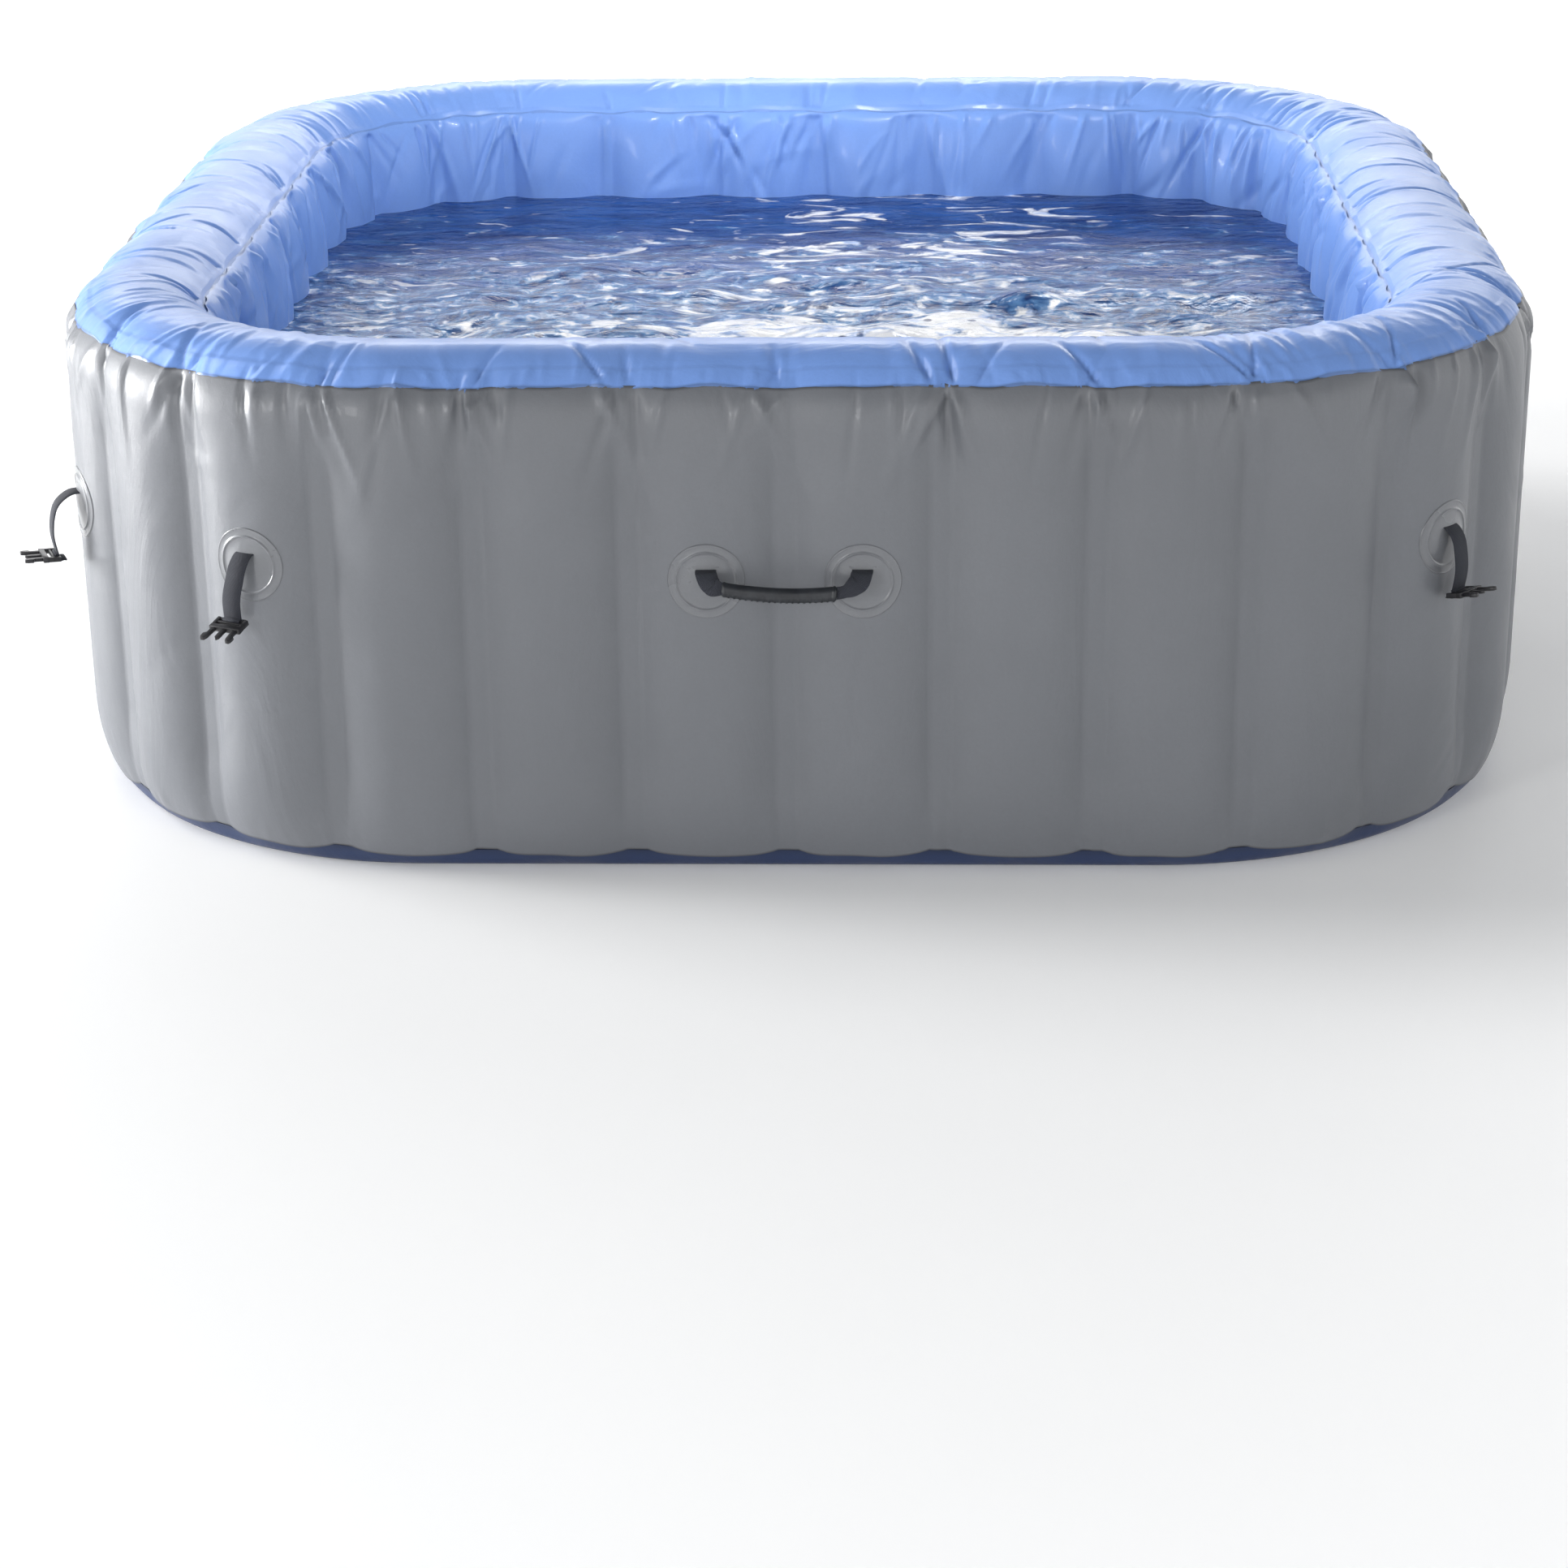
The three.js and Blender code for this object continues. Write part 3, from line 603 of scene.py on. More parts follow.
def make_top_ring():
    """The crowned ring: weld lips along both seams, gathers over the crown, edges behind the walls."""
    s0 = stations(6, 40)[None, :]
    near_lips = [0.004, 0.008, 0.093, 0.0955, 0.098, 0.101, 0.955, 0.962, 0.992, 0.996]
    v = np.union1d(np.linspace(0, 1, 48), near_lips)[:, None]
    s = s0 + (inner_s(s0) - s0) * v
    inset, z = ring_section(v)
    ahead_inset, ahead_z = ring_section(np.minimum(v + 0.004, 1))
    back_inset, back_z = ring_section(np.maximum(v - 0.004, 0))
    length = np.hypot(ahead_inset - back_inset, ahead_z - back_z)
    out_inset, out_z = -(ahead_z - back_z) / length, (ahead_inset - back_inset) / length
    from_outer = np.cumsum(np.hypot(np.diff(inset, axis=0, prepend=inset[:1]),
                                    np.diff(z, axis=0, prepend=z[:1])), 0)
    from_inner = from_outer[-1:] - from_outer
    lift = 0.0011 * smooth(-from_outer, -0.0262, -0.0248) + 0.0006 * smooth(-from_inner, -0.010, -0.009)
    lift = lift + relief(s0, from_outer, RING_CREASES) - np.abs(relief(s0, from_outer, RING_FOLDS))
    lift = lift - np.abs(relief(s0, from_inner, RING_INNER_FOLDS))
    lift = lift + ripples(s0, v, 51, 620, (0.004, 0.008), (-0.0021, 0.0021))
    lift = lift + ripples(s0, v, 52, 150, (0.006, 0.012), (-0.0020, 0.0020), False)
    lift = lift - 0.0042 * valley(s0) * (1 - smooth(from_outer, 0.0, 0.09))
    lift = lift - 0.0030 * valley(s0) * (1 - smooth(from_inner, 0.0, 0.06))
    edge = relief(s0, 0 * v, OUTER_CREASES) * (1 - smooth(from_outer, 0.0, 0.03))
    lift = (lift + edge) * smooth(from_inner, 0, 0.012) + 0.0004
    z = z + lift * out_z + (outer_seam(s0) - OUTER_SEAM_Z) * (1 - smooth(v, 0, 0.3))
    z = z + (inner_seam(s0) - INNER_SEAM_Z) * smooth(v, 0.75, 1)
    inset = inset + lift * out_inset
    tuck_down, tuck_in = 0.004, 0.0012
    under = outer_seam(s0) - tuck_down
    behind = inner_seam(s0) - tuck_down
    inset = np.vstack([wall_inset(s0, under) + tuck_in, inset, basin_inset(s0, behind) - tuck_in])
    z = np.vstack([under, z + 0 * s0, behind])
    x, y = outline(np.vstack([s[:1], s, s[-1:]]), inset)
    # Painted shade along both seams and in the rows tucked behind the walls, a slight darkening of the weld
    # lip, and a painted shade line at the lip's edge.
    seam_shade = 0.7 * np.clip(1 - from_outer / 0.0018, 0, 1) + 0.3 * np.clip(1 - from_inner / 0.0012, 0, 1)
    seam_shade = seam_shade + 0.06 * smooth(-from_outer, -0.0262, -0.0248)
    seam_shade = seam_shade + 0.30 * np.exp(-((from_outer - 0.0255) / 0.0010) ** 2) + 0 * s0
    seam_shade = np.vstack([0.8 + 0 * s0, seam_shade, 0.3 + 0 * s0])
    skin("top_ring_skin", x, y, z, seam_shade, "blue_vinyl", ["top_ring"])


def basin_inset(s, z):
    """The inner wall's surface, from the inner seam over a soft shoulder down to the floor."""
    seam_inset = float(ring_section(np.array(1.0))[0])
    above = np.clip(z - SHOULDER_Z, 0, None) / (INNER_SEAM_Z - SHOULDER_Z)
    shoulder = np.sqrt(np.clip(1 - above ** 2, 0, 1))
    body = seam_inset + (BASIN_INSET - seam_inset) * shoulder - 0.006 * (1 - smooth(z, 0.0, 0.11))
    keep = smooth(z, 0.0, 0.10) * (1 - 0.55 * smooth(z, 0.50, INNER_SEAM_Z))
    lobes = BASIN_RELIEF * (0.35 - valley(s)) * keep
    pulled = relief(s, np.maximum(inner_seam(s) - z, 0), INNER_CREASES) + folds(s, z, INNER_FOLDS)
    return body + (lobes + pulled) * (1 - flat_share(s, z)) * (1 - smooth(z, 0.592, 0.606))


def make_inner_wall():
    s0 = stations(4, 36)[None, :]
    v = np.linspace(0, 1, 68)[:, None]
    low, high = FLOOR_Z + 0.001, inner_seam(s0)
    z = low + (high - low) * (1 - (1 - v) ** 1.7)
    x, y = outline(inner_s(s0) + 0 * z, basin_inset(s0, z))
    # Painted shade just under the inner seam.
    seam_shade = 0.5 * np.clip(1 - (high - z) / 0.0016, 0, 1) + 0 * x
    skin("inner_wall_skin", x, y, z, seam_shade, "blue_vinyl", ["inner_wall"], False)


def make_webs():
    """The upright webs that hold the two walls together, from band to band, and their hoop of tape."""
    z = np.linspace(WEB_LOW, WEB_HIGH, 10)
    rows, clear = len(z), 0.0010
    vertices, faces = [], []
    for k in range(LOBES):
        s = np.array(k * PITCH)
        ax, ay = outline(s + 0 * z, wall_inset(s, z) + clear)
        bx, by = outline(inner_s(s) + 0 * z, basin_inset(s, z) - clear)
        length = np.hypot(bx - ax, by - ay)
        nx, ny = -(by - ay) / length * WEB_T / 2, (bx - ax) / length * WEB_T / 2
        first = len(vertices)
        for x, y, side in ((ax, ay, 1), (bx, by, 1), (bx, by, -1), (ax, ay, -1)):
            vertices += np.stack([x + nx * side, y + ny * side, z], -1).tolist()
        for i in range(4):
            a, b = first + i * rows, first + (i + 1) % 4 * rows
            faces += [[a + j, b + j, b + j + 1, a + j + 1] for j in range(rows - 1)]
        faces.append([first + i * rows for i in range(4)][::-1])
        faces.append([first + i * rows + rows - 1 for i in range(4)])
    s = stations(2, 10)[None, :]
    z = np.array([TAPE_LOW, TAPE_HIGH, TAPE_HIGH, TAPE_LOW])[:, None]
    depth = np.array([clear, clear, 2 * clear, 2 * clear])[:, None]
    x, y = outline(s + 0 * z, wall_inset(s, z) + depth)
    first, columns = len(vertices), x.shape[1]
    vertices += np.stack([x, y, z + 0 * x], -1).reshape(-1, 3).tolist()
    for k in range(4):
        a, b = first + k * columns, first + (k + 1) % 4 * columns
        faces += [[a + i, a + (i + 1) % columns, b + (i + 1) % columns, b + i] for i in range(columns)]
    obj = mesh_object("tension_webs_tape", vertices, faces)
    set_attribute(obj, "seam_shade", np.zeros(len(vertices)))
    finish_piece(obj, "root", "web_tape", ["tension_webs"])


def flat_sheet(node, x, y, z, middle_z, seam_shade, slot, facing):
    """A sheet of rings of points round a middle point; facing 1 shows its underside, -1 its top."""
    rows, columns = x.shape
    points = np.stack([x, y, z], -1).reshape(-1, 3).tolist() + [[0, 0, middle_z]]
    faces = loop_faces(rows, columns) + [[i, (i + 1) % columns, len(points) - 1] for i in range(columns)]
    obj = mesh_object(f"{node}_skin", points, [face[::facing] for face in faces])
    set_attribute(obj, "seam_shade", np.append(seam_shade.ravel(), 0))
    finish_piece(obj, "root", slot, [node])


def make_base_sheet():
    """The bottom sheet, turned up round the foot of the wall to its scalloped seam."""
    s = stations(2, 10)[None, :]
    high = base_seam(s)
    v = np.linspace(0, 1, 8)[:, None]
    z = high * v ** 1.5
    inset = foot_inset(z) + LOBE_RELIEF * 0.45 * valley(s) * smooth(v, 0.2, 1) - 0.0006
    x, y = outline(s + 0 * z, inset)
    flat = np.array([0.0, 0.35, 0.7, 0.9, 0.97])[:, None]
    fx, fy = flat * x[:1], flat * y[:1]
    x, y = np.vstack([fx[1:], x]), np.vstack([fy[1:], y])
    z = np.vstack([np.zeros_like(fx[1:]), z])
    # Painted shade on the turned-up edge, darker towards its seam under the wall's rolled foot.
    flat_sheet("base_sheet", x, y, z, 0, np.clip((z - 0.015) / 0.02, 0, 1), "navy_vinyl", 1)


def make_floor_sheet():
    """The basin's floor, lying a little uneven."""
    s = stations(2, 6)[None, :]
    share = np.array([0.12, 0.3, 0.5, 0.66, 0.8, 0.9, 0.96, 1.0])[:, None]
    x, y = outline(s, BASIN_INSET - 0.004 + 0 * s)
    x, y = x * share, y * share
    z = FLOOR_Z + 0.0012 * np.sin(9 * x + 4 * y) * np.sin(7 * y - 2 * x) * (1 - share)
    flat_sheet("floor_sheet", x, y, z, FLOOR_Z, 0 * z, "blue_vinyl", -1)


def make_air_channel():
    """The half-round bubble channel along the foot of the inner wall."""
    s = stations(2, 8)[None, :]
    angle = np.linspace(-np.pi / 2, np.pi / 2, 15)[:, None]
    reach = CHANNEL_REACH * (1 - 0.10 * valley(s))
    inset = BASIN_INSET - 0.002 + reach * np.cos(angle)
    z = CHANNEL_MIDDLE + CHANNEL_HALF * np.sin(angle) + 0 * s
    x, y = outline(inner_s(s) + 0 * z, inset)
    skin("air_channel_skin", x, y, z, 0 * x, "blue_vinyl", ["air_channel"], False)
    make_air_holes()


def make_air_holes():
    """Bubble holes in pairs all round the channel, drawn as small flat dark discs: painted shade for the
    inside of each hole.
    """
    vertices, faces = [], []
    sides, radius = 10, 0.0022
    for k in range(LOBES * 4):
        s = np.array((k + 0.5) * PITCH / 4)
        for tilt in (0.15, 0.95):
            inset = BASIN_INSET - 0.002 + CHANNEL_REACH * math.cos(tilt) + 0.0004
            x, y = (float(c) for c in outline(inner_s(s), inset))
            ax, ay = (float(c) for c in outline(inner_s(s + 0.01), inset))
            along = Vector((ax - x, ay - y, 0)).normalized()
            inward = Vector((-along.y, along.x, 0))
            up = (Vector((0, 0, 1)) * math.cos(tilt) - inward * math.sin(tilt)).normalized()
            centre = Vector((x, y, CHANNEL_MIDDLE + CHANNEL_HALF * math.sin(tilt)))
            first = len(vertices)
            for i in range(sides):
                turn = 2 * math.pi * i / sides
                vertices.append(centre + (along * math.cos(turn) + up * math.sin(turn)) * radius)
            faces.append(list(range(first, first + sides))[::-1])
    obj = mesh_object("air_channel_holes", vertices, faces)
    finish_piece(obj, "root", "fitting")


# ---- patches, webbing, buckles, grips

def patch(name, lobe, z, replaces):
    """A welded disc that follows its lobe: two weld rings and a pulled-up middle."""
    near_weld = np.array([-0.0026, -0.0014, -0.0007, 0.0, 0.0007, 0.0014, 0.0026])
    r = np.union1d([0.003, 0.007, 0.012, 0.017, 0.022, 0.027, 0.040, 0.0455, PATCH_R], WELD_R + near_weld)
    r = np.union1d(r, [0.0428, 0.0436, 0.0444, 0.0450])[:, None]
    rings, sides = len(r), 72
    turn = 2 * np.pi * np.arange(sides)[None, :] / sides
    weld = 0.0007 * np.exp(-((r - 0.0444) / 0.0007) ** 2) + 0.0017 * np.exp(-((r - WELD_R) / 0.0011) ** 2)
    out = 0.0007 + weld + 0.0034 * (1 - smooth(r, 0.004, 0.034))
    out[-1] = -0.0008
    points = wall_points(lobe * PITCH + r * np.cos(turn), z + r * np.sin(turn), out)
    middle = wall_points(np.array([lobe * PITCH]), np.array([z]), np.array([0.0041]))
    vertices = points.reshape(-1, 3).tolist() + middle.tolist()
    faces = [face[::-1] for face in loop_faces(rings, sides)]
    faces += [[len(vertices) - 1, i, (i + 1) % sides] for i in range(sides)]
    obj = mesh_object(name + "_disc", vertices, faces)
    # Painted shade round the disc's rim, where it tucks into the wall.
    seam_shade = 0.22 * np.exp(-((r - PATCH_R) / 0.0012) ** 2) + 0 * turn
    set_attribute(obj, "seam_shade", np.append(seam_shade.ravel(), 0))
    return finish_piece(obj, "root", "clear_vinyl", replaces)


def soften(obj, width, segments=2):
    modifier = obj.modifiers.new("bevel", "BEVEL")
    modifier.width = width
    modifier.segments = segments
    modifier.limit_method = "ANGLE"


def ribbon(name, middle, across, width, body, replaces, steps=60):
    """Woven webbing along middle(t), its width along across(t), with rounded selvedges and length UVs."""
    section = [(-0.5, 0), (-0.47, 0.5), (0, 0.56), (0.47, 0.5),
               (0.5, 0), (0.47, -0.5), (0, -0.56), (-0.47, -0.5)]
    count = len(section)
    vertices, lengths, run = [], [], 0.0
    last = None
    for i in range(steps + 1):
        t = i / steps
        point = middle(t)
        tangent = (middle(min(1, t + 0.01)) - middle(max(0, t - 0.01))).normalized()
        side = (across(t) - tangent * across(t).dot(tangent)).normalized()
        normal = tangent.cross(side).normalized()
        run += (point - last).length if last is not None else 0
        last = point
        for u, v in section:
            vertices.append(point + side * (u * width(t)) + normal * (v * WEBBING_T))
            lengths.append((u * width(t), run))
    faces = loop_faces(steps + 1, count)
    faces += [list(range(count))[::-1], [steps * count + k for k in range(count)]]
    obj = mesh_object(name, vertices, faces)
    layer = obj.data.uv_layers.new(name="length")
    for loop in obj.data.loops:
        layer.data[loop.index].uv = lengths[loop.vertex_index]
    return finish_piece(obj, body, "webbing", replaces)


def curve_through(points):
    """A Catmull-Rom curve as a function of t from 0 to 1."""
    points = [Vector(p) for p in points]
    padded = [2 * points[0] - points[1], *points, 2 * points[-1] - points[-2]]

    def at(t):
        place = min(max(t, 0), 1) * (len(points) - 1)
        k = min(int(place), len(points) - 2)
        u = place - k
        a, b, c, d = padded[k:k + 4]
        return 0.5 * (2 * b + (c - a) * u + (2 * a - 5 * b + 4 * c - d) * u ** 2
                      + (3 * b - a - 3 * c + d) * u ** 3)
    return at


def wall_frame(lobe, z):
    """Local frame on the crown of a lobe: X along the wall, Y inwards, Z up."""
    ax, ay = (float(c) for c in outline(np.array(lobe * PITCH + 0.05), np.array(0.0)))
    bx, by = (float(c) for c in outline(np.array(lobe * PITCH - 0.05), np.array(0.0)))
    angle = math.atan2(ay - by, ax - bx)
    return Matrix.Translation(((ax + bx) / 2, (ay + by) / 2, z)) @ Matrix.Rotation(angle, 4, "Z")


def extruded(name, outlines, depth, matrix, body, slot, replaces=(), bevel=0.0006):
    """Flat plates with given outlines (x, y), thick along local Z, joined into one piece."""
    vertices, faces = [], []
    for points, low, high in outlines:
        first, count = len(vertices), len(points)
        for z in (low * depth, high * depth):
            vertices += [matrix @ Vector((x, y, z)) for x, y in points]
        faces.append(list(range(first, first + count))[::-1])
        faces.append(list(range(first + count, first + 2 * count)))
        faces += [[first + i, first + (i + 1) % count, first + count + (i + 1) % count, first + count + i]
                  for i in range(count)]
    obj = mesh_object(name, vertices, faces)
    soften(obj, bevel)
    return finish_piece(obj, body, slot, replaces)


def stadium(length, width, rise=0.0, steps=8):
    """A bar's outline with round ends, counter-clockwise."""
    r, half = width / 2, length / 2 - width / 2
    right = [(half + r * math.sin(a), rise - r * math.cos(a)) for a in np.linspace(0, math.pi, steps)]
    return right + [(-x, 2 * rise - y) for x, y in right]


def slot_collar(name, matrix):
    """The moulded slot that webbing leaves a patch through: a flange, a rail above and a rail below."""
    place = matrix @ Matrix.Translation((0, 0, SLOT_RISE)) @ Matrix.Rotation(math.pi / 2, 4, "X")
    plates = [(stadium(0.0340, 0.0104), 1.0, 3.2),
              (stadium(0.0320, 0.0024, 0.0035), 3.0, 6.4),
              (stadium(0.0320, 0.0024, -0.0035), 3.0, 5.4)]
    extruded(name, plates, 0.001, place, "root", "clear_vinyl", bevel=0.0005)


def buckle(name, matrix, body, replaces):
    """Male half of a side-release buckle: ladder bars behind, three prongs in front (local -Y outwards)."""
    w = 0.021

    def rect(x0, x1, y0, y1):
        return [(x0, y0), (x1, y0), (x1, y1), (x0, y1)]

    def prong(side):
        inner, outer = side * 0.0120, side * 0.0175
        tip = [(inner, -0.019), (side * 0.0130, -0.038), (side * 0.0150, -0.0430), (side * 0.0195, -0.0435),
               (side * 0.0212, -0.0400), (side * 0.0212, -0.0330), (outer, -0.0310), (outer, -0.019)]
        return tip if side < 0 else tip[::-1]

    plates = [
        (rect(-w, w, -0.0205, -0.0135), -0.55, 0.55),
        (rect(-w, w, -0.0085, -0.0055), -0.42, 0.42),
        (rect(-w, -w + 0.0045, -0.0155, 0.0015), -0.5, 0.5),
        (rect(w - 0.0045, w, -0.0155, 0.0015), -0.5, 0.5),
        (rect(-w + 0.004, w - 0.004, -0.0020, 0.0020), -0.33, 0.33),
        ([(0.003, -0.019), (0.003, -0.037), (0.0, -0.0405), (-0.003, -0.037), (-0.003, -0.019)],
         -0.3, 0.3),
        (prong(-1), -0.36, 0.36),
        (prong(1), -0.36, 0.36),
    ]
    return extruded(name + "_clip", plates, 0.0062, matrix, body, "buckle", replaces)


STRAPS = {  # lobe, arch, sideways lean of the end, droop of the buckle in degrees
    "front_left_side": (-5.5, 0.045, 0.000, -3),
    "front_left": (-3.5, 0.030, -0.012, 15),
    "front_right": (4.5, 0.028, 0.002, -14),
    "front_right_side": (7.5, 0.028, 0.003, 78),
    "back_right_side": (12.5, 0.028, -0.003, 84),
    "back_right": (14.5, 0.028, 0.004, 76),
    "back_left": (22.5, 0.028, -0.004, 82),
    "back_left_side": (24.5, 0.028, 0.002, 79),
}
STRAP_DROP = 0.080


def make_strap(name, lobe, arch, lean, droop):
    """A cover strap: patch, slot, webbing that arches out and down, buckle and the webbing's tail."""
    matrix = wall_frame(lobe, STRAP_Z)
    patch(f"{name}_patch", lobe, STRAP_Z, [f"{name}_patch"])
    slot_collar(f"{name}_slot", matrix)
    out, top = -arch, SLOT_RISE
    end = out + 0.003
    middle = curve_through([matrix @ Vector(p) for p in (
        (0, -0.0035, top + 0.0004), (lean * 0.1, out * 0.45, top - 0.001),
        (lean * 0.2, out * 0.80, top - 0.012), (lean * 0.4, out * 0.96, top - 0.028),
        (lean * 0.8, out - 0.001, top - 0.052), (lean, end, top - STRAP_DROP + 0.0015))])
    along = matrix.to_3x3() @ Vector((1, 0, 0))
    ribbon(f"{name}_webbing", middle, lambda t: along, lambda t: WEBBING_W, f"{name}_strap",
           [f"{name}_strap"])
    place = matrix @ Matrix.Translation((lean, end, top - STRAP_DROP))
    place = place @ Matrix.Rotation(math.radians(droop), 4, "X")
    buckle(f"{name}_buckle", place, f"{name}_buckle", [f"{name}_buckle"])
    loop = curve_through([place @ Vector((0, y, z)) for y, z in (
        (0.0005, 0.0042), (-0.0036, 0.0030), (-0.0042, 0.0), (-0.0030, -0.0038), (0.002, -0.0045),
        (0.006, -0.0036), (0.0100, -0.0040))])
    ribbon(f"{name}_webbing_tail", loop, lambda t: along, lambda t: WEBBING_W - 0.001,
           f"{name}_buckle", [], steps=24)


HALF_SPAN = PITCH / 2
GRIP_LENGTH = 0.134
GRIP_R = 0.0085
GRIP_OUT = 0.032
GRIP_DROP = 0.022
GRIP_SAG = 0.005
GRIP_SHIFT = -0.005
GRIP_TILT = 0.040  # its left end is higher
HANDLES = {"front": 0, "right": 9, "left": 27}


def make_handle(name, lobe):
    """A carry handle: two patches with slots, webbing turned on edge towards the grip, and the grip."""
    for hand, step in (("left", -0.5), ("right", 0.5)):
        base = f"{name}_handle_{hand}"
        patch(f"{base}_patch", lobe + step, HANDLE_Z, [f"{base}_patch"])
        slot_collar(f"{base}_slot", wall_frame(lobe + step, HANDLE_Z))
    matrix = wall_frame(lobe, HANDLE_Z)
    y, z = -GRIP_OUT, SLOT_RISE - GRIP_DROP
    left = [(-HALF_SPAN, -0.0035, SLOT_RISE), (-HALF_SPAN + 0.001, -0.020, SLOT_RISE),
            (-HALF_SPAN + 0.007, y + 0.003, SLOT_RISE - 0.010)]
    ends = [(side * GRIP_LENGTH / 2 + GRIP_SHIFT, y, z + GRIP_SAG - GRIP_TILT * side * GRIP_LENGTH / 2)
            for side in (-1, 1)]
    right = [(-p[0], p[1], p[2]) for p in reversed(left)]
    points = [*left, ends[0], (GRIP_SHIFT, y, z), ends[1], *right]
    local = curve_through(points)

    def share(t):
        return min(1, max(0, (HALF_SPAN - abs(local(t).x)) / 0.020))

    def across(t):
        turn = share(t) * math.pi / 2
        hand = 1 if local(t).x < 0 else -1
        return matrix.to_3x3() @ Vector((hand * math.cos(turn), 0, math.sin(turn)))

    body = f"{name}_handle"
    ribbon(f"{name}_handle_web", lambda t: matrix @ local(t), across,
           lambda t: WEBBING_W - 0.0095 * share(t) ** 2, body, [f"{name}_handle_webbing"], steps=120)
    make_grip(name, matrix, y, z, body)


def make_grip(name, matrix, y, z, body):
    """A moulded sleeve: soft oval section, raised end collars and rows of pimples underneath."""
    rings, sides = 150, 32
    vertices = []
    for j in range(rings + 1):
        u = 2 * j / rings - 1
        edge = 1 - 0.25 * max(0, (abs(u) - 0.965) / 0.035) ** 2
        collar = 0.0007 * math.exp(-((abs(u) - 0.95) / 0.02) ** 2)
        for i in range(sides):
            turn = 2 * math.pi * i / sides
            low = max(0, -math.sin(turn + 0.5))
            pimple = 0.0011 * low ** 3 * max(0, math.sin(u * 62))
            r = (GRIP_R + 0.0002 + collar + pimple) * edge
            x = u * GRIP_LENGTH / 2
            flat = 0.80 if math.sin(turn) > 0 else 0.92
            vertices.append(matrix @ Vector((x + GRIP_SHIFT, y + r * flat * math.cos(turn),
                                             z + GRIP_SAG * u * u - GRIP_TILT * x + r * math.sin(turn))))
    faces = [face[::-1] for face in loop_faces(rings + 1, sides)]
    faces += [list(range(sides)), [rings * sides + k for k in range(sides)][::-1]]
    obj = mesh_object(f"{name}_handle_sleeve", vertices, faces)
    finish_piece(obj, body, "grip", [f"{name}_handle_grip"])


# ---- turned fittings

def turned(name, profile, matrix, body, replaces, sides=64, ribs=None):
    """A turned piece about the local Y axis from a closed loop of (radius, y) points.

    ribs gives grip flutes: how many, how deep, from and to which y, and outside which radius.
    """
    vertices, count = [], len(profile)
    for r, y in profile:
        for i in range(sides):
            turn = 2 * math.pi * i / sides
            radius = r
            if ribs:
                flutes, depth, low, high, inside = ribs
                if low <= y <= high and r > inside:
                    radius = r - depth * (0.5 + 0.5 * math.cos(turn * flutes)) ** 2
            vertices.append(matrix @ Vector((radius * math.cos(turn), y, radius * math.sin(turn))))
    faces = loop_faces(count, sides)
    if profile[0][0] > 1e-6:
        last = (count - 1) * sides
        faces += [[last + i, last + (i + 1) % sides, (i + 1) % sides, i] for i in range(sides)]
    obj = mesh_object(name, vertices, faces)
    weld = obj.modifiers.new("weld", "WELD")
    weld.merge_threshold = 1e-6
    soften(obj, 0.0008)
    obj.modifiers["bevel"].angle_limit = math.radians(40)
    return finish_piece(obj, body, "fitting", replaces)


def thread(low, high, radius, pitch=0.004, height=0.0012):
    """Profile points of a row of thread ridges from low to high."""
    points, y = [], low
    while y + pitch <= high:
        points += [(radius, y), (radius + height, y + pitch * 0.4),
                   (radius + height, y + pitch * 0.6), (radius, y + pitch)]
        y += pitch
    return points


def coupling_profile(y_in):
    """A threaded pipe end with a flange on the wall's outside, down to y_in inside it."""
    return [(PIPE_BORE, -0.025), (PIPE_R, -0.025), *thread(-0.0235, -0.0075, PIPE_R),
            (PIPE_R, -0.0066), (FLANGE_R - 0.004, -0.0066), (FLANGE_R, -0.0050), (FLANGE_R, -0.0005),
            (PIPE_R, -0.0005), (PIPE_R, y_in), (PIPE_BORE, y_in)]


def make_water_couplings():
    """Inlet and outlet pipes through both walls, their clamp nuts and stoppers in the basin."""
    pipe_in = BASIN_INSET + 0.024
    nut_low = BASIN_INSET + 0.0005
    nut_high = nut_low + 0.009
    rim = pipe_in + 0.0003
    for name, place in (("inlet", INLET), ("outlet", OUTLET)):
        at = wall_frame(*place)
        turned(f"{name}_pipe", coupling_profile(pipe_in), at, "root", [f"{name}_coupling"])
        turned(f"{name}_nut",
               [(0.0303, nut_low), (0.044, nut_low), (0.044, nut_high), (0.0303, nut_high)],
               at, "root", [f"{name}_clamp_nut"], sides=96, ribs=(12, 0.004, -1, 1, 0.04))
        turned(f"{name}_plug",
               [(0, pipe_in - 0.016), (0.0216, pipe_in - 0.016), (0.0216, rim), (0.030, rim),
                (0.030, pipe_in + 0.006), (0.026, pipe_in + 0.0065), (0.024, pipe_in + 0.0045),
                (0, pipe_in + 0.0045)],
               at, f"{name}_stopper", [f"{name}_stopper"], ribs=(16, 0.0012, -1, 1, 0.028))


def make_air_fittings():
    """The air coupling, and the inflation valve with its screw cap."""
    turned("air_pipe", coupling_profile(0.038), wall_frame(*AIR), "root", ["air_coupling"])
    at = wall_frame(*INFLATION)
    turned("inflation_valve_body",
           [(0.020, -0.014), (0.0255, -0.014), (0.0255, -0.0046), (0.040, -0.0046), (0.042, -0.0030),
            (0.042, -0.0005), (0.0255, -0.0005), (0.0255, 0.034), (0.020, 0.034)],
           at, "root", ["inflation_valve"])
    turned("inflation_cap",
           [(0, -0.0140), (0.017, -0.0140), (0.017, -0.0040), (0.0195, -0.0040), (0.0195, -0.0143),
            (0.029, -0.0143), (0.029, -0.0215), (0.0265, -0.0240), (0.012, -0.0240), (0.010, -0.0225),
            (0, -0.0225)],
           at, "inflation_valve_cap", ["inflation_valve_cap"], sides=96,
           ribs=(24, 0.0016, -0.0230, -0.0143, 0.027))


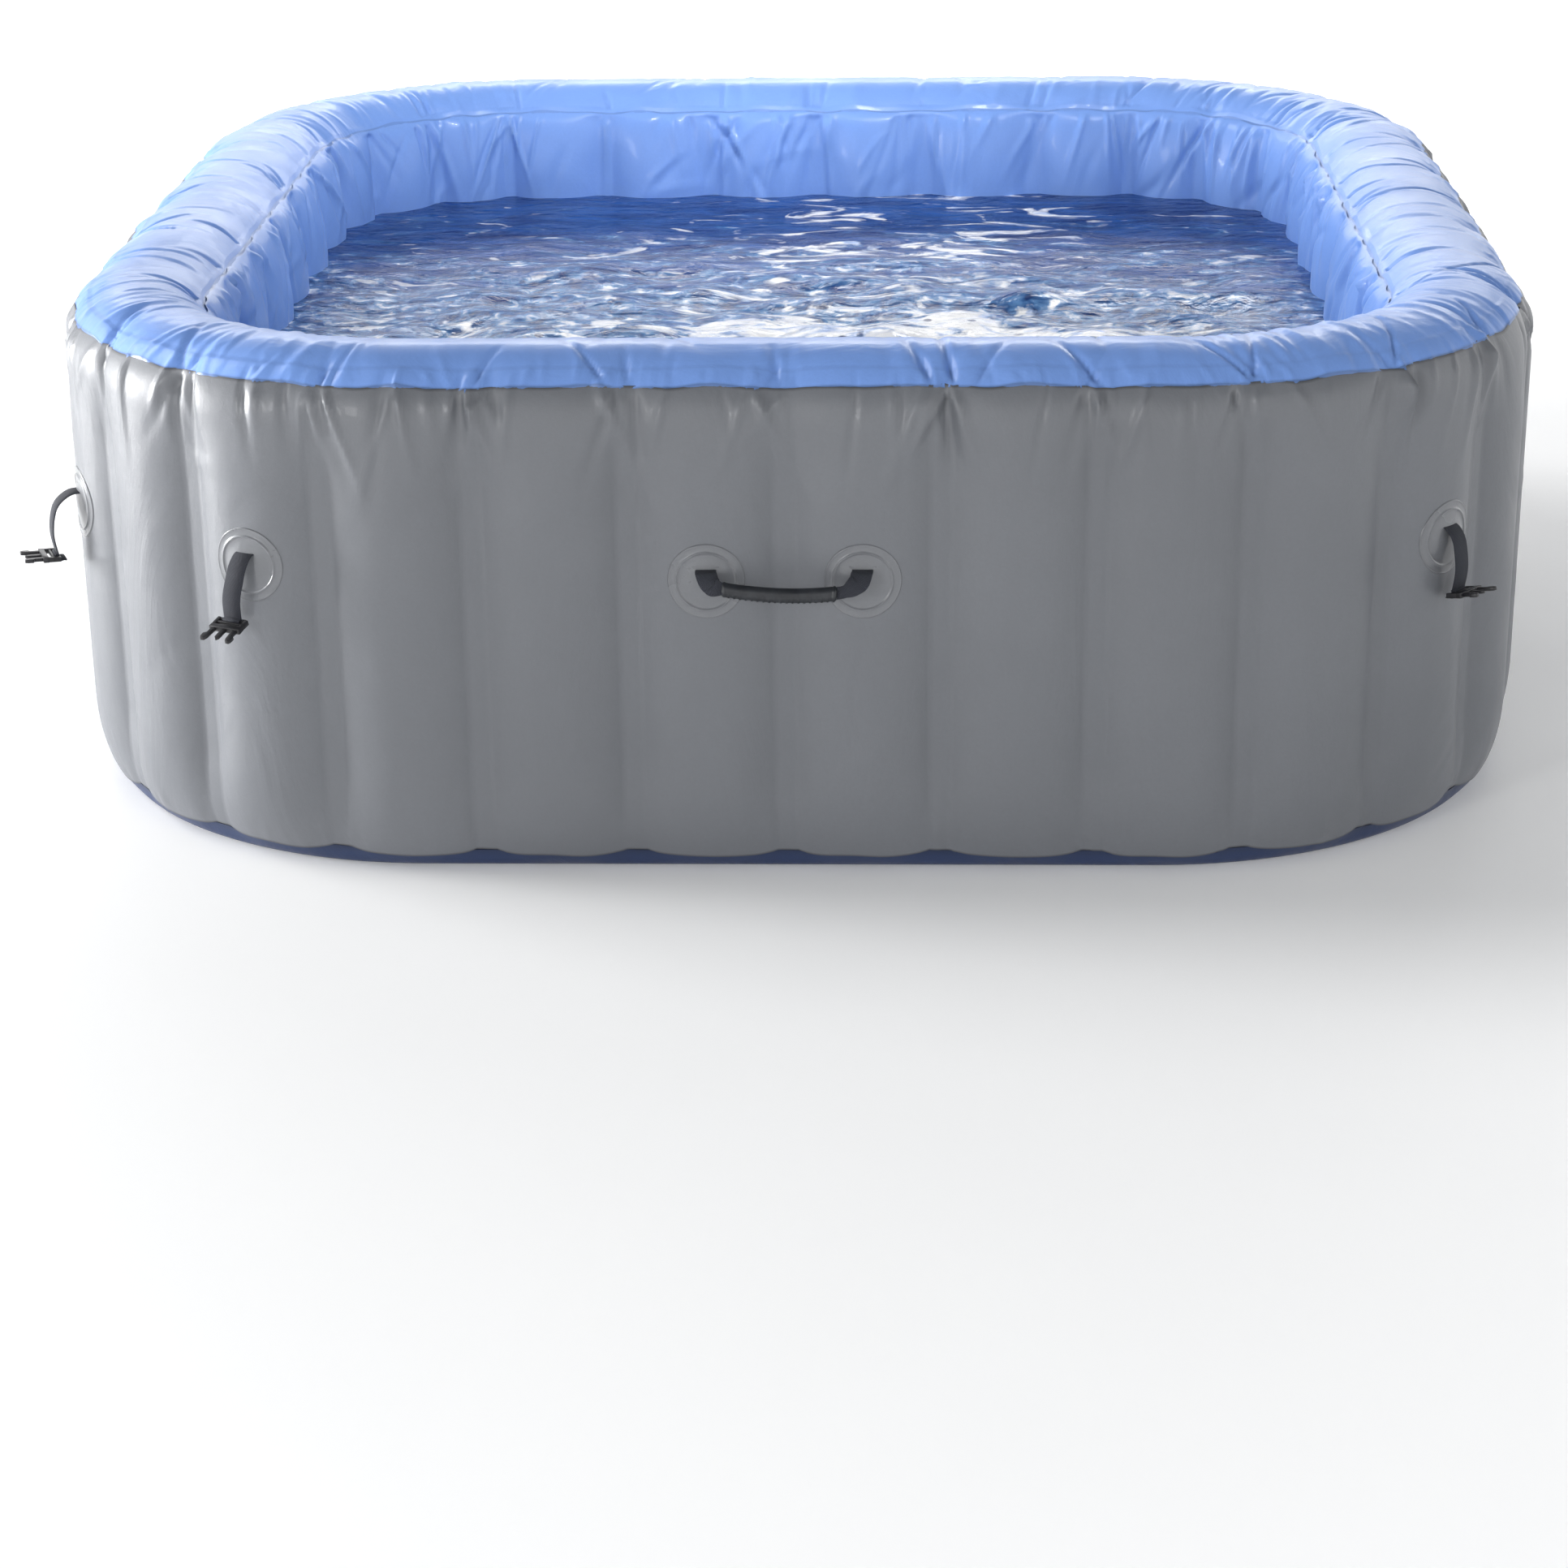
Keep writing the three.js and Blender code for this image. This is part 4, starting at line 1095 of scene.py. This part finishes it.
def make_drain():
    """The drain valve, its screw cap outside and its plug in the basin."""
    at = wall_frame(*DRAIN)
    end = BASIN_INSET + 0.016
    turned("drain_body",
           [(0.011, -0.022), (0.0152, -0.022), *thread(-0.0215, -0.0095, 0.0148, 0.003, 0.0008),
            (0.0152, -0.0046), (0.0265, -0.0046), (0.028, -0.0030), (0.028, -0.0005), (0.0152, -0.0005),
            (0.0152, end), (0.011, end)],
           at, "root", ["drain_valve"])
    turned("drain_screw_cap",
           [(0, -0.0223), (0.0165, -0.0223), (0.0165, -0.0080), (0.020, -0.0080), (0.020, -0.0265),
            (0.0185, -0.0280), (0, -0.0280)],
           at, "drain_cap", ["drain_cap"], sides=96, ribs=(24, 0.0010, -0.0270, -0.0080, 0.019))
    turned("drain_stopper",
           [(0, end - 0.012), (0.0106, end - 0.012), (0.0106, end + 0.0003), (0.020, end + 0.0003),
            (0.020, end + 0.004), (0.0185, end + 0.005), (0, end + 0.005)],
           at, "drain_plug", ["drain_plug"])


# ---- water and floor, not part of the object

FLOOR_Z_BELOW = -0.0005
COVE_START, COVE_R, COVE_TOP, COVE_STEPS = 12.0, 4.0, 8.0, 12
COVE_SIDES = 128


def make_floor():
    """A pale floor that curves up into a wall all round, glowing softly further out."""
    section = [(r, FLOOR_Z_BELOW) for r in (0.05, 1.0, 3.0, 6.0, COVE_START)]
    for k in range(1, COVE_STEPS + 1):
        a = math.pi / 2 * k / COVE_STEPS
        section.append((COVE_START + COVE_R * math.sin(a), FLOOR_Z_BELOW + COVE_R * (1 - math.cos(a))))
    section.append((COVE_START + COVE_R, COVE_TOP))
    turns = [2 * math.pi * j / COVE_SIDES for j in range(COVE_SIDES)]
    points = [(r * math.cos(turn), r * math.sin(turn), z) for r, z in section for turn in turns]
    faces = loop_faces(len(section), COVE_SIDES) + [list(range(COVE_SIDES))]
    floor = mesh_object("studio_floor", points, faces)
    n = Nodes("studio_floor", (0.93, 0.93, 0.93), 0.7)
    away = n.add("ShaderNodeVectorMath", Vector=n.add("ShaderNodeTexCoord").outputs["Object"])
    away.operation = "LENGTH"
    glow = n.span(away.outputs["Value"], 0.13, 0.46, 1.4, 6.0)
    n.shader.inputs["Emission Color"].default_value = (1, 1, 1, 1)
    n.link_or_set(n.shader.inputs["Emission Strength"], glow)
    n.rough(n.span(n.noise(3.0), 0.65, 0.75))
    show(floor, n.material)


def make_water():
    """The water's surface, from wall to wall, choppy at the front and calmer at the back."""
    s = stations(2, 6)
    inset = basin_inset(s[None, :], np.array([[WATER_LEVEL]]))[0]
    x, y = outline(inner_s(s), inset)
    share = np.linspace(0.01, 1, 130)[:, None]
    gx, gy = x[None, :] * share, y[None, :] * share
    wave = 0
    r = np.random.RandomState(5)
    for _ in range(26):
        k, a = r.uniform(12, 70), r.uniform(0, 2 * np.pi)
        phase = k * (np.cos(a) * gx + 1.7 * np.sin(a) * gy) + r.uniform(0, 6.28)
        wave = wave + 0.055 / k * np.sin(phase)
    calm = 0.25 + 0.75 * (1 - smooth(gy, -0.2, 0.5))
    gz = WATER_LEVEL + wave * calm * (1 - share ** 8) * 0.9
    water = mesh_object("water_surface", np.stack([gx, gy, gz], -1).reshape(-1, 3),
                        loop_faces(len(share), len(s)) + [list(range(len(s)))[::-1]])
    show(water, water_material())


make_camera()
make_studio()
LOOKS = make_materials()
make_floor()
make_water()
make_outer_wall()
make_top_ring()
make_inner_wall()
make_webs()
make_base_sheet()
make_floor_sheet()
make_air_channel()
for strap, facts in STRAPS.items():
    make_strap(strap, *facts)
for side, lobe in HANDLES.items():
    make_handle(side, lobe)
make_water_couplings()
make_air_fittings()
make_drain()
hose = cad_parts["air_hose"]
hose.data.materials.clear()
hose.data.materials.append(LOOKS["hose"])
